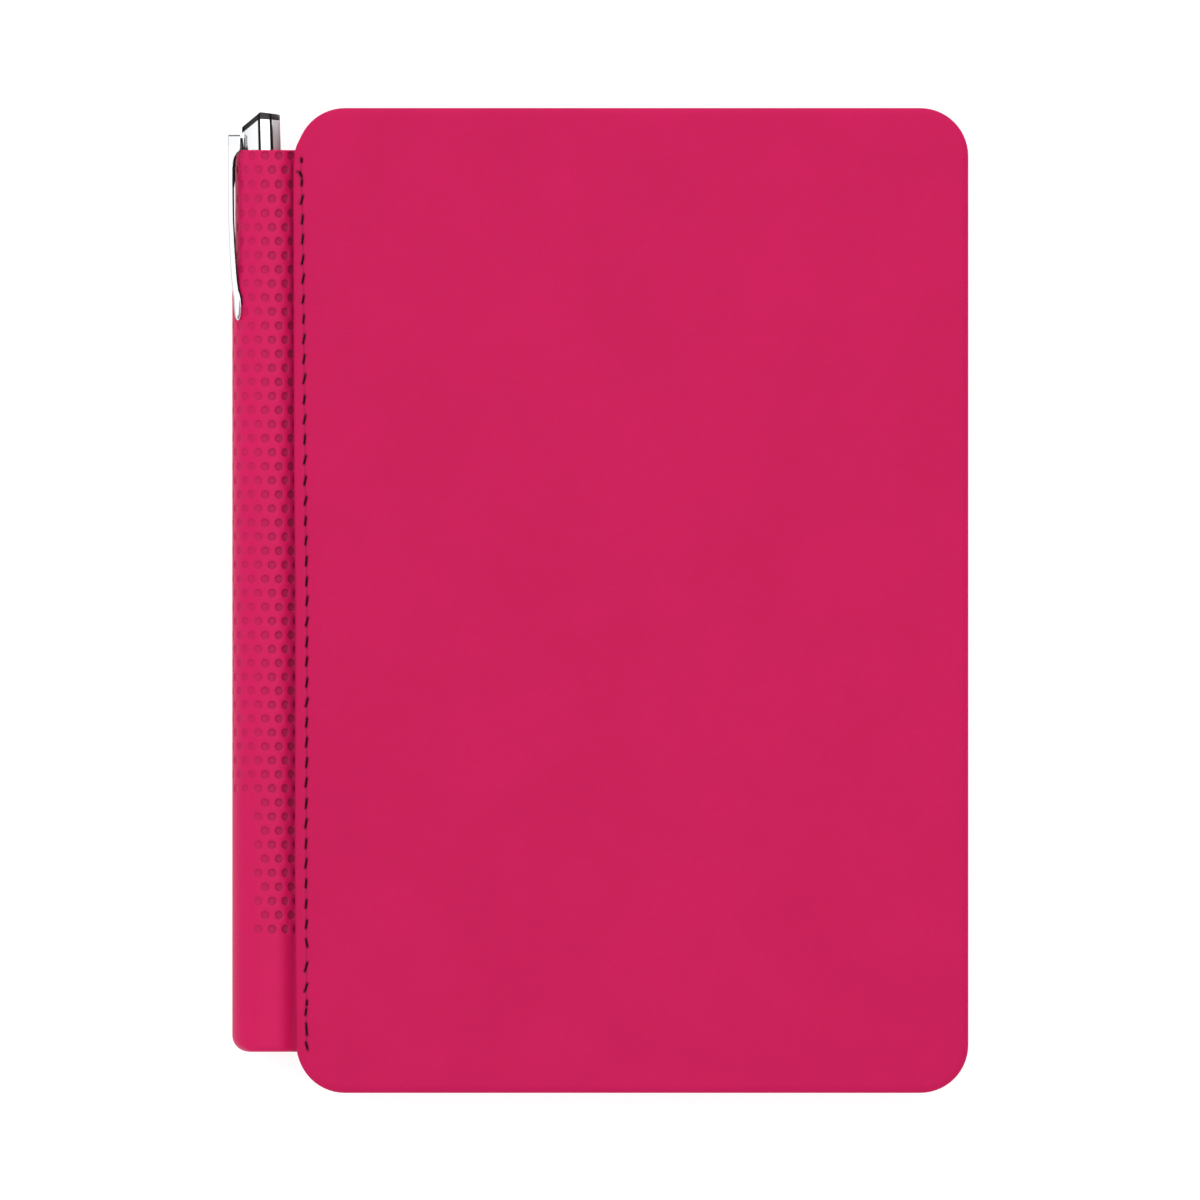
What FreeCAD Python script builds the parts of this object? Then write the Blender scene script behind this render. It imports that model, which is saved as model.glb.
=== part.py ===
import FreeCAD, Part
import math
import os

# Tablet folio case with a pen-holding spine. Millimetres, +Z up.
# The case lies on its back panel. Origin: centre of the back panel's outer face.
# +X runs from the spine to the free edge, +Y to the top edge, +Z out of the front cover.

V = FreeCAD.Vector

# ---- driving dimensions ----
COVER_W = 142.5          # cover width, X
COVER_H = 209.0          # cover height, Y
COVER_R = 10.2           # cover corner radius
TOTAL_T = 14.7           # closed thickness
EDGE_R = 0.75            # rolled leather edge
SKIN_T = 0.7             # leatherette
BOARD_T = 0.9            # stiffener board
TURN_T = 0.3             # turned-in edge
TURN_W = 12.0            # how far the leatherette is turned in
LINING_T = 0.3           # microfibre lining
LINING_INSET = 0.8
PANEL_T = SKIN_T + BOARD_T + TURN_T + LINING_T      # 2.2
FLANGE_T = 1.0
FLANGE_X0, FLANGE_X1 = -72.1, -67.8
SEAM_X = -69.5           # the sewn seam
SEAM_Y0, SEAM_Y1 = -95.0, 93.5
STITCH_PITCH = 4.35
STITCH_LEN, STITCH_W, STITCH_T = 1.9, 0.55, 0.22
STITCH_SLANT = 9.0       # degrees

# tray for a 200.0 x 134.7 x 7.2 tablet
BAY_X0, BAY_X1, BAY_Y, BAY_R = -66.2, 69.2, 100.3, 8.0
TRAY_WALL = 1.3
ADHESIVE_T = 0.3
TRAY_FLOOR = 1.0
PAD_T = 0.3
TRAY_TOP = 12.2
LIP_Z = 11.2
LIP_OVER = 0.8

# spine and its pen tube
PEN_X, PEN_Z = -78.85, TOTAL_T / 2.0
SLEEVE_R = 6.15
SLEEVE_Y0, SLEEVE_Y1 = -95.8, 95.6
SLEEVE_TOP = 13.95
SLEEVE_END = 2.0
BORE_R = 5.15
HINGE_X = -72.4
SPINE_FACE_X = -72.7

# pen
BARREL_R = 4.8
PEN_TOP = 103.66
PEN_TIP = -38.3
CLIP_ANGLE = 25.0        # the clip leans towards the front face
BUTTON_R = 4.33
TRAVEL = 5.0

os.makedirs("parts", exist_ok=True)
MADE = []


def save(name, shape):
    solids = shape.Solids
    if len(solids) == 1:
        shape = solids[0]
    assert shape.isValid(), name
    shape.exportStep("parts/%s.step" % name)
    b = shape.BoundBox
    MADE.append(name)
    print("%-15s solids %3d vol %9.1f  x %7.2f %7.2f  y %7.2f %7.2f  z %6.2f %6.2f" % (
        name, len(solids), shape.Volume, b.XMin, b.XMax, b.YMin, b.YMax, b.ZMin, b.ZMax))
    return shape


def box(x0, x1, y0, y1, z0, z1):
    return Part.makeBox(x1 - x0, y1 - y0, z1 - z0, V(x0, y0, z0))


def rrect_wire(x0, x1, y0, y1, r, z):
    """Rounded rectangle; r is one radius, or four: x0y0, x1y0, x1y1, x0y1."""
    rs = r if isinstance(r, (list, tuple)) else [r] * 4
    k = math.sqrt(0.5)
    corners = [(x0, y0, 1, 1), (x1, y0, -1, 1), (x1, y1, -1, -1), (x0, y1, 1, -1)]
    pts = []
    for (x, y, sx, sy), q in zip(corners, rs):
        if q <= 0:
            pts.append([V(x, y, z)])
            continue
        cx, cy = x + sx * q, y + sy * q
        a, b = V(x, cy, z), V(cx, y, z)
        if sx * sy < 0:
            a, b = b, a
        pts.append([a, V(cx - sx * q * k, cy - sy * q * k, z), b])
    edges = []
    for i in range(4):
        p, n = pts[i], pts[(i + 1) % 4]
        if len(p) == 3:
            edges.append(Part.Arc(p[0], p[1], p[2]).toShape())
        if (p[-1] - n[0]).Length > 1e-6:
            edges.append(Part.LineSegment(p[-1], n[0]).toShape())
    return Part.Wire(edges)


def rslab(x0, x1, y0, y1, r, z0, z1):
    w = rrect_wire(x0, x1, y0, y1, r, z0)
    return Part.Face(w).extrude(V(0, 0, z1 - z0))


def cyl_y(cx, cz, r, y0, y1):
    return Part.makeCylinder(r, y1 - y0, V(cx, y0, cz), V(0, 1, 0))


def cyl_z(cx, cy, r, z0, z1):
    return Part.makeCylinder(r, z1 - z0, V(cx, cy, z0), V(0, 0, 1))


def poly_y(points, y0, y1):
    """Closed XZ polygon, extruded along Y."""
    vs = [V(x, y0, z) for x, z in points]
    return Part.Face(Part.makePolygon(vs + [vs[0]])).extrude(V(0, y1 - y0, 0))


def turned(profile):
    """Closed (radius, y) outline turned about the pen's axis."""
    vs = [V(PEN_X + r, y, PEN_Z) for r, y in profile]
    f = Part.Face(Part.makePolygon(vs + [vs[0]]))
    return f.revolve(V(PEN_X, 0, PEN_Z), V(0, 1, 0), 360)


def flip_z(shape):
    """The same shape on the back panel: mirrored in the mid plane of the thickness."""
    return shape.mirror(V(0, 0, TOTAL_T / 2.0), V(0, 0, 1))


HX, HY = COVER_W / 2.0, COVER_H / 2.0
Z3 = TOTAL_T                         # outer face of the front cover
Z2 = Z3 - SKIN_T                     # skin over board
Z1 = Z2 - BOARD_T                    # board over turned-in edge
Z0 = Z1 - TURN_T                     # turned-in edge over lining
ZL = Z0 - LINING_T                   # inner face of the lining

# ---- cover panel, made once for the front and mirrored for the back ----
outer = rslab(-HX, HX, -HY, HY, COVER_R, Z0, Z3)
rim = [e for e in outer.Edges if abs(e.BoundBox.ZMin - Z3) < 1e-6 and abs(e.BoundBox.ZMax - Z3) < 1e-6]
outer = outer.makeFillet(EDGE_R, rim)
board = rslab(-HX + SKIN_T, HX - SKIN_T, -HY + SKIN_T, HY - SKIN_T, COVER_R - SKIN_T, Z1, Z2)
window = rslab(-HX + TURN_W, HX - TURN_W, -HY + TURN_W, HY - TURN_W, 4.0, Z0 - 1, Z1)
groove = box(SEAM_X - 0.55, SEAM_X + 0.55, SEAM_Y0 - 0.8, SEAM_Y1 + 0.8, Z3 - 0.25, Z3 + 1)
skin = outer.cut(board).cut(window).cut(groove)
lining = rslab(-HX + LINING_INSET, HX - LINING_INSET, -HY + LINING_INSET, HY - LINING_INSET,
               COVER_R - LINING_INSET, ZL, Z0)

# magnets that hold the cover shut
MAGNET_Y = (-54.0, 0.0, 50.0)
discs = [cyl_z(65.5, y, 4.0, Z1, Z2) for y in MAGNET_Y]
cover_board = board
for d in discs:
    cover_board = cover_board.cut(d)

# seam threads: short slanted stitches in the groove
stitches = []
n = 44
for i in range(n):
    y = SEAM_Y1 - STITCH_LEN / 2.0 - i * STITCH_PITCH
    s = rslab(-STITCH_W / 2, STITCH_W / 2, -STITCH_LEN / 2, STITCH_LEN / 2, 0.24, Z3 - 0.25, Z3 - 0.25 + STITCH_T)
    s.rotate(V(0, 0, 0), V(0, 0, 1), -STITCH_SLANT)
    s.translate(V(SEAM_X, y, 0))
    stitches.append(s)

# the flange of the spine moulding, under the cover's hinge edge
flange = box(FLANGE_X0, FLANGE_X1, SLEEVE_Y0, SLEEVE_Y1, ZL - FLANGE_T, ZL)

save("cover_skin", skin)
save("cover_board", cover_board)
save("cover_lining", lining)
save("cover_magnets", Part.makeCompound(discs))
save("cover_stitches", Part.makeCompound(stitches))
save("front_flange", flange)

# ---- back panel: the same stack, with the camera window through it ----
CAM = (52.0, 64.0, 84.0, 96.0)
cam_cut = rslab(CAM[0], CAM[1], CAM[2], CAM[3], 3.0, -1.0, 5.0)
save("back_skin", flip_z(skin).cut(cam_cut))
save("back_board", flip_z(board).cut(cam_cut))
save("back_lining", flip_z(lining).cut(cam_cut))
save("back_stitches", Part.makeCompound([flip_z(s) for s in stitches]))
save("back_flange", flip_z(flange))

# ---- tray that holds the tablet ----
TZ = PANEL_T + ADHESIVE_T
TX0, TX1, TY = BAY_X0 - TRAY_WALL, BAY_X1 + TRAY_WALL, BAY_Y + TRAY_WALL
TF = TZ + TRAY_FLOOR
adhesive = rslab(TX0 + 3, TX1 - 3, -TY + 3, TY - 3, 6.0, PANEL_T, TZ).cut(cam_cut)
pad = rslab(BAY_X0 + 0.4, BAY_X1 - 0.4, -BAY_Y + 0.4, BAY_Y - 0.4, BAY_R - 0.4, TF, TF + PAD_T).cut(cam_cut)
floor = rslab(TX0, TX1, -TY, TY, BAY_R + TRAY_WALL, TZ, TF).cut(cam_cut)
wall = rslab(TX0, TX1, -TY, TY, BAY_R + TRAY_WALL, TF, TRAY_TOP)
wall = wall.cut(rslab(BAY_X0, BAY_X1, -BAY_Y, BAY_Y, BAY_R, TF - 1, TRAY_TOP + 1))
lip = rslab(BAY_X0 - 0.3, BAY_X1 + 0.3, -BAY_Y - 0.3, BAY_Y + 0.3, BAY_R + 0.3, LIP_Z, TRAY_TOP)
lip = lip.cut(rslab(BAY_X0 + LIP_OVER, BAY_X1 - LIP_OVER, -BAY_Y + LIP_OVER, BAY_Y - LIP_OVER, BAY_R - LIP_OVER,
                    LIP_Z - 1, TRAY_TOP + 1))
CB = BAY_R + TRAY_WALL                 # corner block of the wall
SLOT_Z0, SLOT_Z1 = 4.6, 10.0
bars = [box(69.4, 70.3, y - 6, y + 6, 8.0, 11.0) for y in MAGNET_Y]
ZA, ZB = TF - 1, TRAY_TOP + 1
wall_spine = wall.common(box(TX0 - 1, BAY_X0 + 1, -TY + CB, TY - CB, ZA, ZB))
wall_free = wall.common(box(BAY_X1 - 1, TX1 + 1, -TY + CB, TY - CB, ZA, ZB))
wall_free = wall_free.cut(box(BAY_X1 - 1, TX1 + 1, 62, 78, SLOT_Z0, SLOT_Z1))          # volume buttons
for b in bars:
    wall_free = wall_free.cut(b)
wall_bottom = wall.common(box(TX0 + CB, TX1 - CB, -TY - 1, -BAY_Y + 1, ZA, ZB))
wall_bottom = wall_bottom.cut(box(1.5 - 23, 1.5 + 23, -TY - 1, -BAY_Y + 1, SLOT_Z0, SLOT_Z1))   # port and speakers
wall_top = wall.common(box(TX0 + CB, TX1 - CB, BAY_Y - 1, TY + 1, ZA, ZB))
wall_top = wall_top.cut(box(-52, -40, BAY_Y - 1, TY + 1, SLOT_Z0, SLOT_Z1))            # headphone socket
wall_top = wall_top.cut(box(30, 46, BAY_Y - 1, TY + 1, SLOT_Z0, SLOT_Z1))              # power button
corners = {}
for sx, cx in (("spine", TX0), ("free", TX1 - CB)):
    for sy, cy in (("bottom", -TY), ("top", TY - CB)):
        cell = box(cx, cx + CB, cy, cy + CB, ZA, ZB)
        corners["tray_corner_%s_%s" % (sy, sx)] = wall.common(cell).fuse(lip.common(cell)).removeSplitter()
save("tray_adhesive", adhesive)
save("tray_floor", floor)
save("tray_wall_spine", wall_spine)
save("tray_wall_free", wall_free)
save("tray_wall_bottom", wall_bottom)
save("tray_wall_top", wall_top)
for name in sorted(corners):
    save(name, corners[name])
save("tray_pad", pad)
save("tray_magnets", Part.makeCompound(bars))

# ---- spine: the pen tube ----
# section: round on the free side, flat on the front and back, rounding down to the hinge line
off = (SLEEVE_TOP - PEN_Z) - SLEEVE_R
R2 = 5.85                              # radius beside the hinge
CX2 = -76.6
cz2t = SLEEVE_TOP - R2
cz2b = TOTAL_T - cz2t


def on_r2(x, cz, sgn):
    return cz + sgn * math.sqrt(R2 * R2 - (x - CX2) ** 2)


def xz(x, z):
    return V(x, SLEEVE_Y0, z)


zt, zb = PEN_Z + off, PEN_Z - off
k = math.sqrt(0.5)
xm = (CX2 + SPINE_FACE_X) / 2.0
edges = [
    Part.Arc(xz(PEN_X - SLEEVE_R, zt), xz(PEN_X - SLEEVE_R * k, zt + SLEEVE_R * k), xz(PEN_X, SLEEVE_TOP)).toShape(),
    Part.LineSegment(xz(PEN_X, SLEEVE_TOP), xz(CX2, SLEEVE_TOP)).toShape(),
    Part.Arc(xz(CX2, SLEEVE_TOP), xz(xm, on_r2(xm, cz2t, 1)), xz(SPINE_FACE_X, on_r2(SPINE_FACE_X, cz2t, 1))).toShape(),
    Part.LineSegment(xz(SPINE_FACE_X, on_r2(SPINE_FACE_X, cz2t, 1)), xz(SPINE_FACE_X, on_r2(SPINE_FACE_X, cz2b, -1))).toShape(),
    Part.Arc(xz(SPINE_FACE_X, on_r2(SPINE_FACE_X, cz2b, -1)), xz(xm, on_r2(xm, cz2b, -1)), xz(CX2, TOTAL_T - SLEEVE_TOP)).toShape(),
    Part.LineSegment(xz(CX2, TOTAL_T - SLEEVE_TOP), xz(PEN_X, TOTAL_T - SLEEVE_TOP)).toShape(),
    Part.Arc(xz(PEN_X, TOTAL_T - SLEEVE_TOP), xz(PEN_X - SLEEVE_R * k, zb - SLEEVE_R * k), xz(PEN_X - SLEEVE_R, zb)).toShape(),
    Part.LineSegment(xz(PEN_X - SLEEVE_R, zb), xz(PEN_X - SLEEVE_R, zt)).toShape(),
]
sleeve = Part.Face(Part.Wire(edges)).extrude(V(0, SLEEVE_Y1 - SLEEVE_Y0, 0))
trim = rslab(PEN_X - SLEEVE_R, SPINE_FACE_X + 1, SLEEVE_Y0, SLEEVE_Y1, [3.4, 0, 0, 1.6], -1, TOTAL_T + 1)
sleeve = sleeve.common(trim)
sleeve = sleeve.cut(cyl_y(PEN_X, PEN_Z, BORE_R, SLEEVE_Y0 + SLEEVE_END, SLEEVE_Y1 + 1))
save("pen_sleeve", sleeve)

# ---- pen ----
RING_Y0, RING_Y1 = 86.0, 95.3
ca, sa = math.cos(math.radians(CLIP_ANGLE)), math.sin(math.radians(CLIP_ANGLE))


def polar(r, t, y, deg=CLIP_ANGLE):
    """A point r out from the pen's axis towards the clip and t across, at height y."""
    c, s = math.cos(math.radians(deg)), math.sin(math.radians(deg))
    return V(PEN_X - r * c + t * s, y, PEN_Z + r * s + t * c)


def block(r0, r1, t0, t1, y0, y1, deg=CLIP_ANGLE):
    ps = [polar(r0, t0, y0, deg), polar(r1, t0, y0, deg), polar(r1, t1, y0, deg), polar(r0, t1, y0, deg)]
    return Part.Face(Part.makePolygon(ps + [ps[0]])).extrude(V(0, y1 - y0, 0))


# black ring that closes the barrel's top and carries the clip
ring = turned([(3.3, RING_Y0), (BARREL_R, RING_Y0), (BARREL_R, RING_Y1), (4.55, RING_Y1), (4.55, 89.4), (3.3, 89.4)])
tab = block(4.0, 4.8, -1.1, 1.1, 92.0, 96.0).fuse(block(4.0, 5.45, -1.1, 1.1, 95.9, 98.2))
tab = tab.cut(cyl_y(PEN_X, PEN_Z, 4.5, 91, 99))
ring = ring.fuse(tab).removeSplitter()
save("clip_ring", ring)

# spring clip, outside the sleeve
def clip_section(y, r0, r1, w, deg):
    ps = [polar(r0, -w / 2, y, deg), polar(r1, -w / 2, y, deg), polar(r1, w / 2, y, deg), polar(r0, w / 2, y, deg)]
    return Part.makePolygon(ps + [ps[0]])


CLIP_R0, CLIP_R1, CLIP_W = 6.64, 7.32, 2.3
root = block(5.52, CLIP_R1, -CLIP_W / 2, CLIP_W / 2, 95.9, 99.4)
# the strip turns towards the front face as it runs down to its leaf-shaped tip
strip = Part.makeLoft([
    clip_section(99.4, CLIP_R0, CLIP_R1, CLIP_W, 25.0),
    clip_section(84.0, CLIP_R0, CLIP_R1, 2.2, 25.5),
    clip_section(77.0, CLIP_R0, 7.25, 2.05, 28.4),
    clip_section(70.0, CLIP_R0, 7.15, 1.95, 33.4),
    clip_section(66.6, CLIP_R0, 7.1, 1.9, 37.0),
    clip_section(64.0, CLIP_R0, 7.05, 2.1, 42.0),
    clip_section(61.4, CLIP_R0, 7.0, 2.0, 44.0),
    clip_section(59.5, CLIP_R0, 6.95, 0.9, 44.5),
], True, True)
clip = root.fuse(strip).removeSplitter()
save("pen_clip", clip)

# push button: faceted, with a slanted top
angles = [14.7, 56.7, 92.0, 146.8, 186.0, 236.7, 272.0, 326.8]
prism = poly_y([(PEN_X + BUTTON_R * math.cos(math.radians(a)), PEN_Z + BUTTON_R * math.sin(math.radians(a))) for a in angles],
               94.9, 106.0)


def under(points):
    """Everything below a line across the button, given as (x offset, y) from left to right."""
    (xa, ya), (xb, yb) = points[0], points[-1]
    ps = [V(PEN_X - 12, 80, -5)] + [V(PEN_X + x, y, -5) for x, y in points] + [V(PEN_X + 12, 80, -5)]
    return Part.Face(Part.makePolygon(ps + [ps[0]])).extrude(V(0, 0, 25))


def line_at(p, q, x):
    return p[1] + (q[1] - p[1]) * (x - p[0]) / (q[0] - p[0])


TOPL, TOPM, TOPR = (-4.0, 100.6), (0.0, PEN_TOP), (4.1, 103.2)
CAPL, CAPM, CAPR = (-3.72, 99.5), (-0.2, 102.2), (4.0, 101.97)
top_cut = under([(-8, line_at(TOPL, TOPM, -8)), TOPM, (8, line_at(TOPM, TOPR, 8))])
cap_cut = under([(-8, line_at(CAPL, CAPM, -8)), CAPM, (8, line_at(CAPM, CAPR, 8))])
whole = prism.common(top_cut)
button = whole.common(cap_cut)
cap = whole.cut(cap_cut)
button = button.cut(cyl_y(PEN_X, PEN_Z, 2.45, 90, 97.5))
save("push_button", button)
save("button_cap", cap)

# click mechanism inside the upper barrel
thrust = turned([(0, 70.0), (2.9, 70.0), (2.9, 73.5), (2.4, 73.5), (2.4, 97.5), (0, 97.5)])
save("thrust_tube", thrust)
guide = turned([(3.05, 63.0), (3.9, 63.0), (3.9, 81.0), (3.05, 81.0)])
for a in range(0, 360, 60):
    slot = box(PEN_X + 2.0, PEN_X + 3.45, 62, 82, PEN_Z - 0.35, PEN_Z + 0.35)
    slot.rotate(V(PEN_X, 0, PEN_Z), V(0, 1, 0), a)
    guide = guide.cut(slot)
save("cam_guide", guide)
rotor = turned([(0, 62.0), (1.9, 62.0), (1.9, 64.0), (2.7, 64.0), (2.7, 69.2), (2.2, 69.6), (0, 69.6)])
save("rotor", rotor)

BARREL_SPLIT = 25.0
upper = turned([(3.9, BARREL_SPLIT + 1), (BARREL_R, BARREL_SPLIT + 1), (BARREL_R, RING_Y0), (3.9, RING_Y0)])
save("upper_barrel", upper)
save("centre_ring", turned([(3.0, BARREL_SPLIT), (BARREL_R + 0.03, BARREL_SPLIT), (BARREL_R + 0.03, BARREL_SPLIT + 1), (3.0, BARREL_SPLIT + 1)]))
lower = turned([(2.9, -12.0), (4.0, -12.0), (4.0, 22.0), (BARREL_R, 22.0), (BARREL_R, BARREL_SPLIT), (2.9, BARREL_SPLIT)])
save("lower_barrel", lower)
grip_pts = [(4.0, -12.0), (4.55, -12.0)]
for i in range(8):                     # finger grooves
    y = -9.0 + i * 4.0
    grip_pts += [(BARREL_R, y), (BARREL_R, y + 1.6), (BARREL_R - 0.25, y + 2.0), (BARREL_R - 0.25, y + 2.6)]
grip_pts += [(BARREL_R, 22.0), (4.0, 22.0)]
save("grip_sleeve", turned(grip_pts))
save("nose_cone", turned([(1.35, PEN_TIP), (1.7, PEN_TIP), (2.6, -32.0), (3.9, -22.0), (BARREL_R, -13.0), (BARREL_R, -12.0),
                          (2.9, -12.0), (2.9, -24.0), (1.9, -25.0), (1.7, -31.6), (1.35, -33.2)]))

# refill
save("refill_tube", turned([(0, -26.0), (1.5, -26.0), (1.5, -12.4), (2.2, -12.4), (2.2, -11.2), (1.5, -11.2), (1.5, 62.0), (0, 62.0)]))
tip = turned([(0, -36.0), (0.42, -36.0), (0.6, -34.2), (1.1, -33.4), (1.1, -26.0), (0, -26.0)])
ball = Part.makeSphere(0.36, V(PEN_X, -36.1, PEN_Z))
save("refill_tip", tip.cut(ball))
save("refill_ball", ball)

# return spring round the refill
SPRING_R, WIRE_R, TURNS = 2.1, 0.22, 8
helix = Part.makeHelix(1.3, 1.3 * TURNS, SPRING_R)
pipe = Part.Wire(helix)
prof_pts = [V(SPRING_R + WIRE_R * math.cos(math.pi * (i + 0.5) / 4), 0, WIRE_R * math.sin(math.pi * (i + 0.5) / 4)) for i in range(8)]
prof = Part.makePolygon(prof_pts + [prof_pts[0]])
coil = pipe.makePipeShell([prof], True, True)
coil.rotate(V(0, 0, 0), V(1, 0, 0), -90)
coil.translate(V(PEN_X, -23.5, PEN_Z))
if coil.Volume < 0:
    coil.reverse()
save("return_spring", coil)

print(len(MADE), "nodes")
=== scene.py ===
import bpy, bmesh
import math
import random
import numpy as np
from mathutils import Vector, Matrix


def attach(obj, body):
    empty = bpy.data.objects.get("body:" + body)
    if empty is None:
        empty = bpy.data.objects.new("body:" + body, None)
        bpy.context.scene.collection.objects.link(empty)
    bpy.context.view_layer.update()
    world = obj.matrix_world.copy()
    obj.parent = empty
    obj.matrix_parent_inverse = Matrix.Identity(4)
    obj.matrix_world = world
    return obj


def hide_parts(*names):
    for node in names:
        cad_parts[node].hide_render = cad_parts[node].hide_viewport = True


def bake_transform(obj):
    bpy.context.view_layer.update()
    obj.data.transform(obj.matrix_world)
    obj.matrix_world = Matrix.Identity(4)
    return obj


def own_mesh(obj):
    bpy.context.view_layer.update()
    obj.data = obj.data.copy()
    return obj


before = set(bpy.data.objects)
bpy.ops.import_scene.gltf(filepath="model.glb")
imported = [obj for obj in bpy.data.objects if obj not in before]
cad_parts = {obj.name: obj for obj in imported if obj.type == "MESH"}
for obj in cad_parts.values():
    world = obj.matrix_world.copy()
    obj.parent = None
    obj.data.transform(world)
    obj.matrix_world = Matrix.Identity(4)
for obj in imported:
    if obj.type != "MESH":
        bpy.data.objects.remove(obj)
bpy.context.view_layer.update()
random.seed(7)

# ------------------------------------------------------------------ helpers
MM = 0.001
T = 14.7                      # closed thickness, mm
HX, HY, CR = 71.25, 104.5, 10.2
PEN_X, PEN_Z = -78.85, 7.35


def lin(r, g, b, a=1.0):
    def f(c):
        c /= 255.0
        return c / 12.92 if c <= 0.04045 else ((c + 0.055) / 1.055) ** 2.4
    return (f(r), f(g), f(b), a)


def new_obj(name, verts, faces, mat=None, smooth=True, scale=MM, angle=None):
    me = bpy.data.meshes.new(name)
    me.from_pydata([tuple(float(c) * scale for c in v) for v in verts], [], [tuple(int(i) for i in f) for f in faces])
    me.validate()
    me.update()
    ob = bpy.data.objects.new(name, me)
    bpy.context.scene.collection.objects.link(ob)
    if mat is not None:
        me.materials.append(mat)
    if smooth:
        me.polygons.foreach_set("use_smooth", [True] * len(me.polygons))
        if angle is not None:
            sharp_by_angle(me, angle)
    return ob


def sharp_by_angle(me, angle):
    bm = bmesh.new()
    bm.from_mesh(me)
    lim = math.radians(angle)
    for e in bm.edges:
        if len(e.link_faces) == 2:
            e.smooth = e.calc_face_angle(0) < lim
        else:
            e.smooth = False
    bm.to_mesh(me)
    bm.free()


def fix_normals(ob):
    bm = bmesh.new()
    bm.from_mesh(ob.data)
    bmesh.ops.recalc_face_normals(bm, faces=bm.faces)
    bm.to_mesh(ob.data)
    bm.free()


def cleaned(name, node, mat, bevel=0.0, angle=28.0, segments=2, dissolve=2.0, shade=35.0):
    """A copy of a CAD node's mesh with its flats joined and its edges eased, to stand for the node."""
    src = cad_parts[node]
    me = src.data.copy()
    me.name = name
    me.transform(src.matrix_world)
    ob = bpy.data.objects.new(name, me)
    bpy.context.scene.collection.objects.link(ob)
    bm = bmesh.new()
    bm.from_mesh(me)
    bmesh.ops.remove_doubles(bm, verts=bm.verts, dist=2e-6)
    bmesh.ops.dissolve_limit(bm, angle_limit=math.radians(dissolve), verts=bm.verts, edges=bm.edges)
    if bevel > 0:
        es = [e for e in bm.edges if len(e.link_faces) == 2 and e.calc_face_angle(0) > math.radians(angle)]
        bmesh.ops.bevel(bm, geom=es, offset=bevel * MM, segments=segments, profile=0.5, affect="EDGES",
                        clamp_overlap=True, offset_type="OFFSET")
    bmesh.ops.recalc_face_normals(bm, faces=bm.faces)
    bm.to_mesh(me)
    bm.free()
    me.materials.clear()
    me.materials.append(mat)
    me.polygons.foreach_set("use_smooth", [True] * len(me.polygons))
    me.polygons.foreach_set("material_index", [0] * len(me.polygons))
    sharp_by_angle(me, shade)
    return ob


def rr_ring(d, z, xs=(-HX, HX), ys=(-HY, HY), R=CR, nleft=360, nside=60, ntop=40, narc=14, rmin=3.0):
    """Ring of a rounded rectangle pulled in by d, at height z. Counter-clockwise from the left side's top."""
    x0, x1, y0, y1 = xs[0] + d, xs[1] - d, ys[0] + d, ys[1] - d
    r = max(R - d, min(rmin, R))
    pts = []
    for i in range(nleft):
        t = i / nleft
        pts.append((x0, (y1 - r) + (y0 + r - (y1 - r)) * t))
    def arc(cx, cy, a0):
        for i in range(narc):
            a = a0 + (math.pi / 2) * i / narc
            pts.append((cx + r * math.cos(a), cy + r * math.sin(a)))
    arc(x0 + r, y0 + r, math.pi)
    for i in range(ntop):
        pts.append((x0 + r + (x1 - x0 - 2 * r) * i / ntop, y0))
    arc(x1 - r, y0 + r, -math.pi / 2)
    for i in range(nside):
        pts.append((x1, (y0 + r) + (y1 - y0 - 2 * r) * i / nside))
    arc(x1 - r, y1 - r, 0)
    for i in range(ntop):
        pts.append((x1 - r - (x1 - x0 - 2 * r) * i / ntop, y1))
    arc(x0 + r, y1 - r, math.pi / 2)
    return [(x, y, z) for x, y in pts]


def loft(rings, close_ends=True):
    n = len(rings[0])
    verts = [p for r in rings for p in r]
    faces = []
    for k in range(len(rings) - 1):
        for i in range(n):
            j = (i + 1) % n
            faces.append((k * n + i, k * n + j, (k + 1) * n + j, (k + 1) * n + i))
    if close_ends:
        faces.append(tuple(range(n))[::-1])
        faces.append(tuple((len(rings) - 1) * n + i for i in range(n)))
    return verts, faces


def lathe(name, profile, mat, n=96, shade=40.0):
    """Turns a closed (radius, y) outline about the pen's axis."""
    verts, faces, idx = [], [], []
    for r, y in profile:
        if r < 1e-6:
            idx.append([len(verts)] * n)
            verts.append((PEN_X, y, PEN_Z))
        else:
            row = []
            for i in range(n):
                a = 2 * math.pi * i / n
                row.append(len(verts))
                verts.append((PEN_X + r * math.cos(a), y, PEN_Z + r * math.sin(a)))
            idx.append(row)
    m = len(profile)
    for k in range(m):
        a, b = idx[k], idx[(k + 1) % m]
        for i in range(n):
            j = (i + 1) % n
            f = []
            for v in (a[i], a[j], b[j], b[i]):
                if v not in f:
                    f.append(v)
            if len(f) >= 3:
                faces.append(f)
    ob = new_obj(name, verts, faces, mat)
    fix_normals(ob)
    sharp_by_angle(ob.data, shade)
    return ob


def eased(profile, r=0.15, steps=3):
    """Rounds the corners of a closed outline by r."""
    out, n = [], len(profile)
    for i in range(n):
        p0, p1, p2 = (np.array(profile[(i + k) % n], float) for k in (-1, 0, 1))
        a, b = p0 - p1, p2 - p1
        la, lb = np.linalg.norm(a), np.linalg.norm(b)
        if p1[0] < 1e-6 or la < 1e-6 or lb < 1e-6:
            out.append(tuple(p1))
            continue
        q = min(r, la * 0.45, lb * 0.45)
        if abs(np.cross(a / la, b / lb)) < 0.15:
            out.append(tuple(p1))
            continue
        s, e = p1 + a / la * q, p1 + b / lb * q
        for k in range(steps + 1):
            t = k / steps
            out.append(tuple((1 - t) ** 2 * s + 2 * t * (1 - t) * p1 + t * t * e))
    return out


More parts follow.
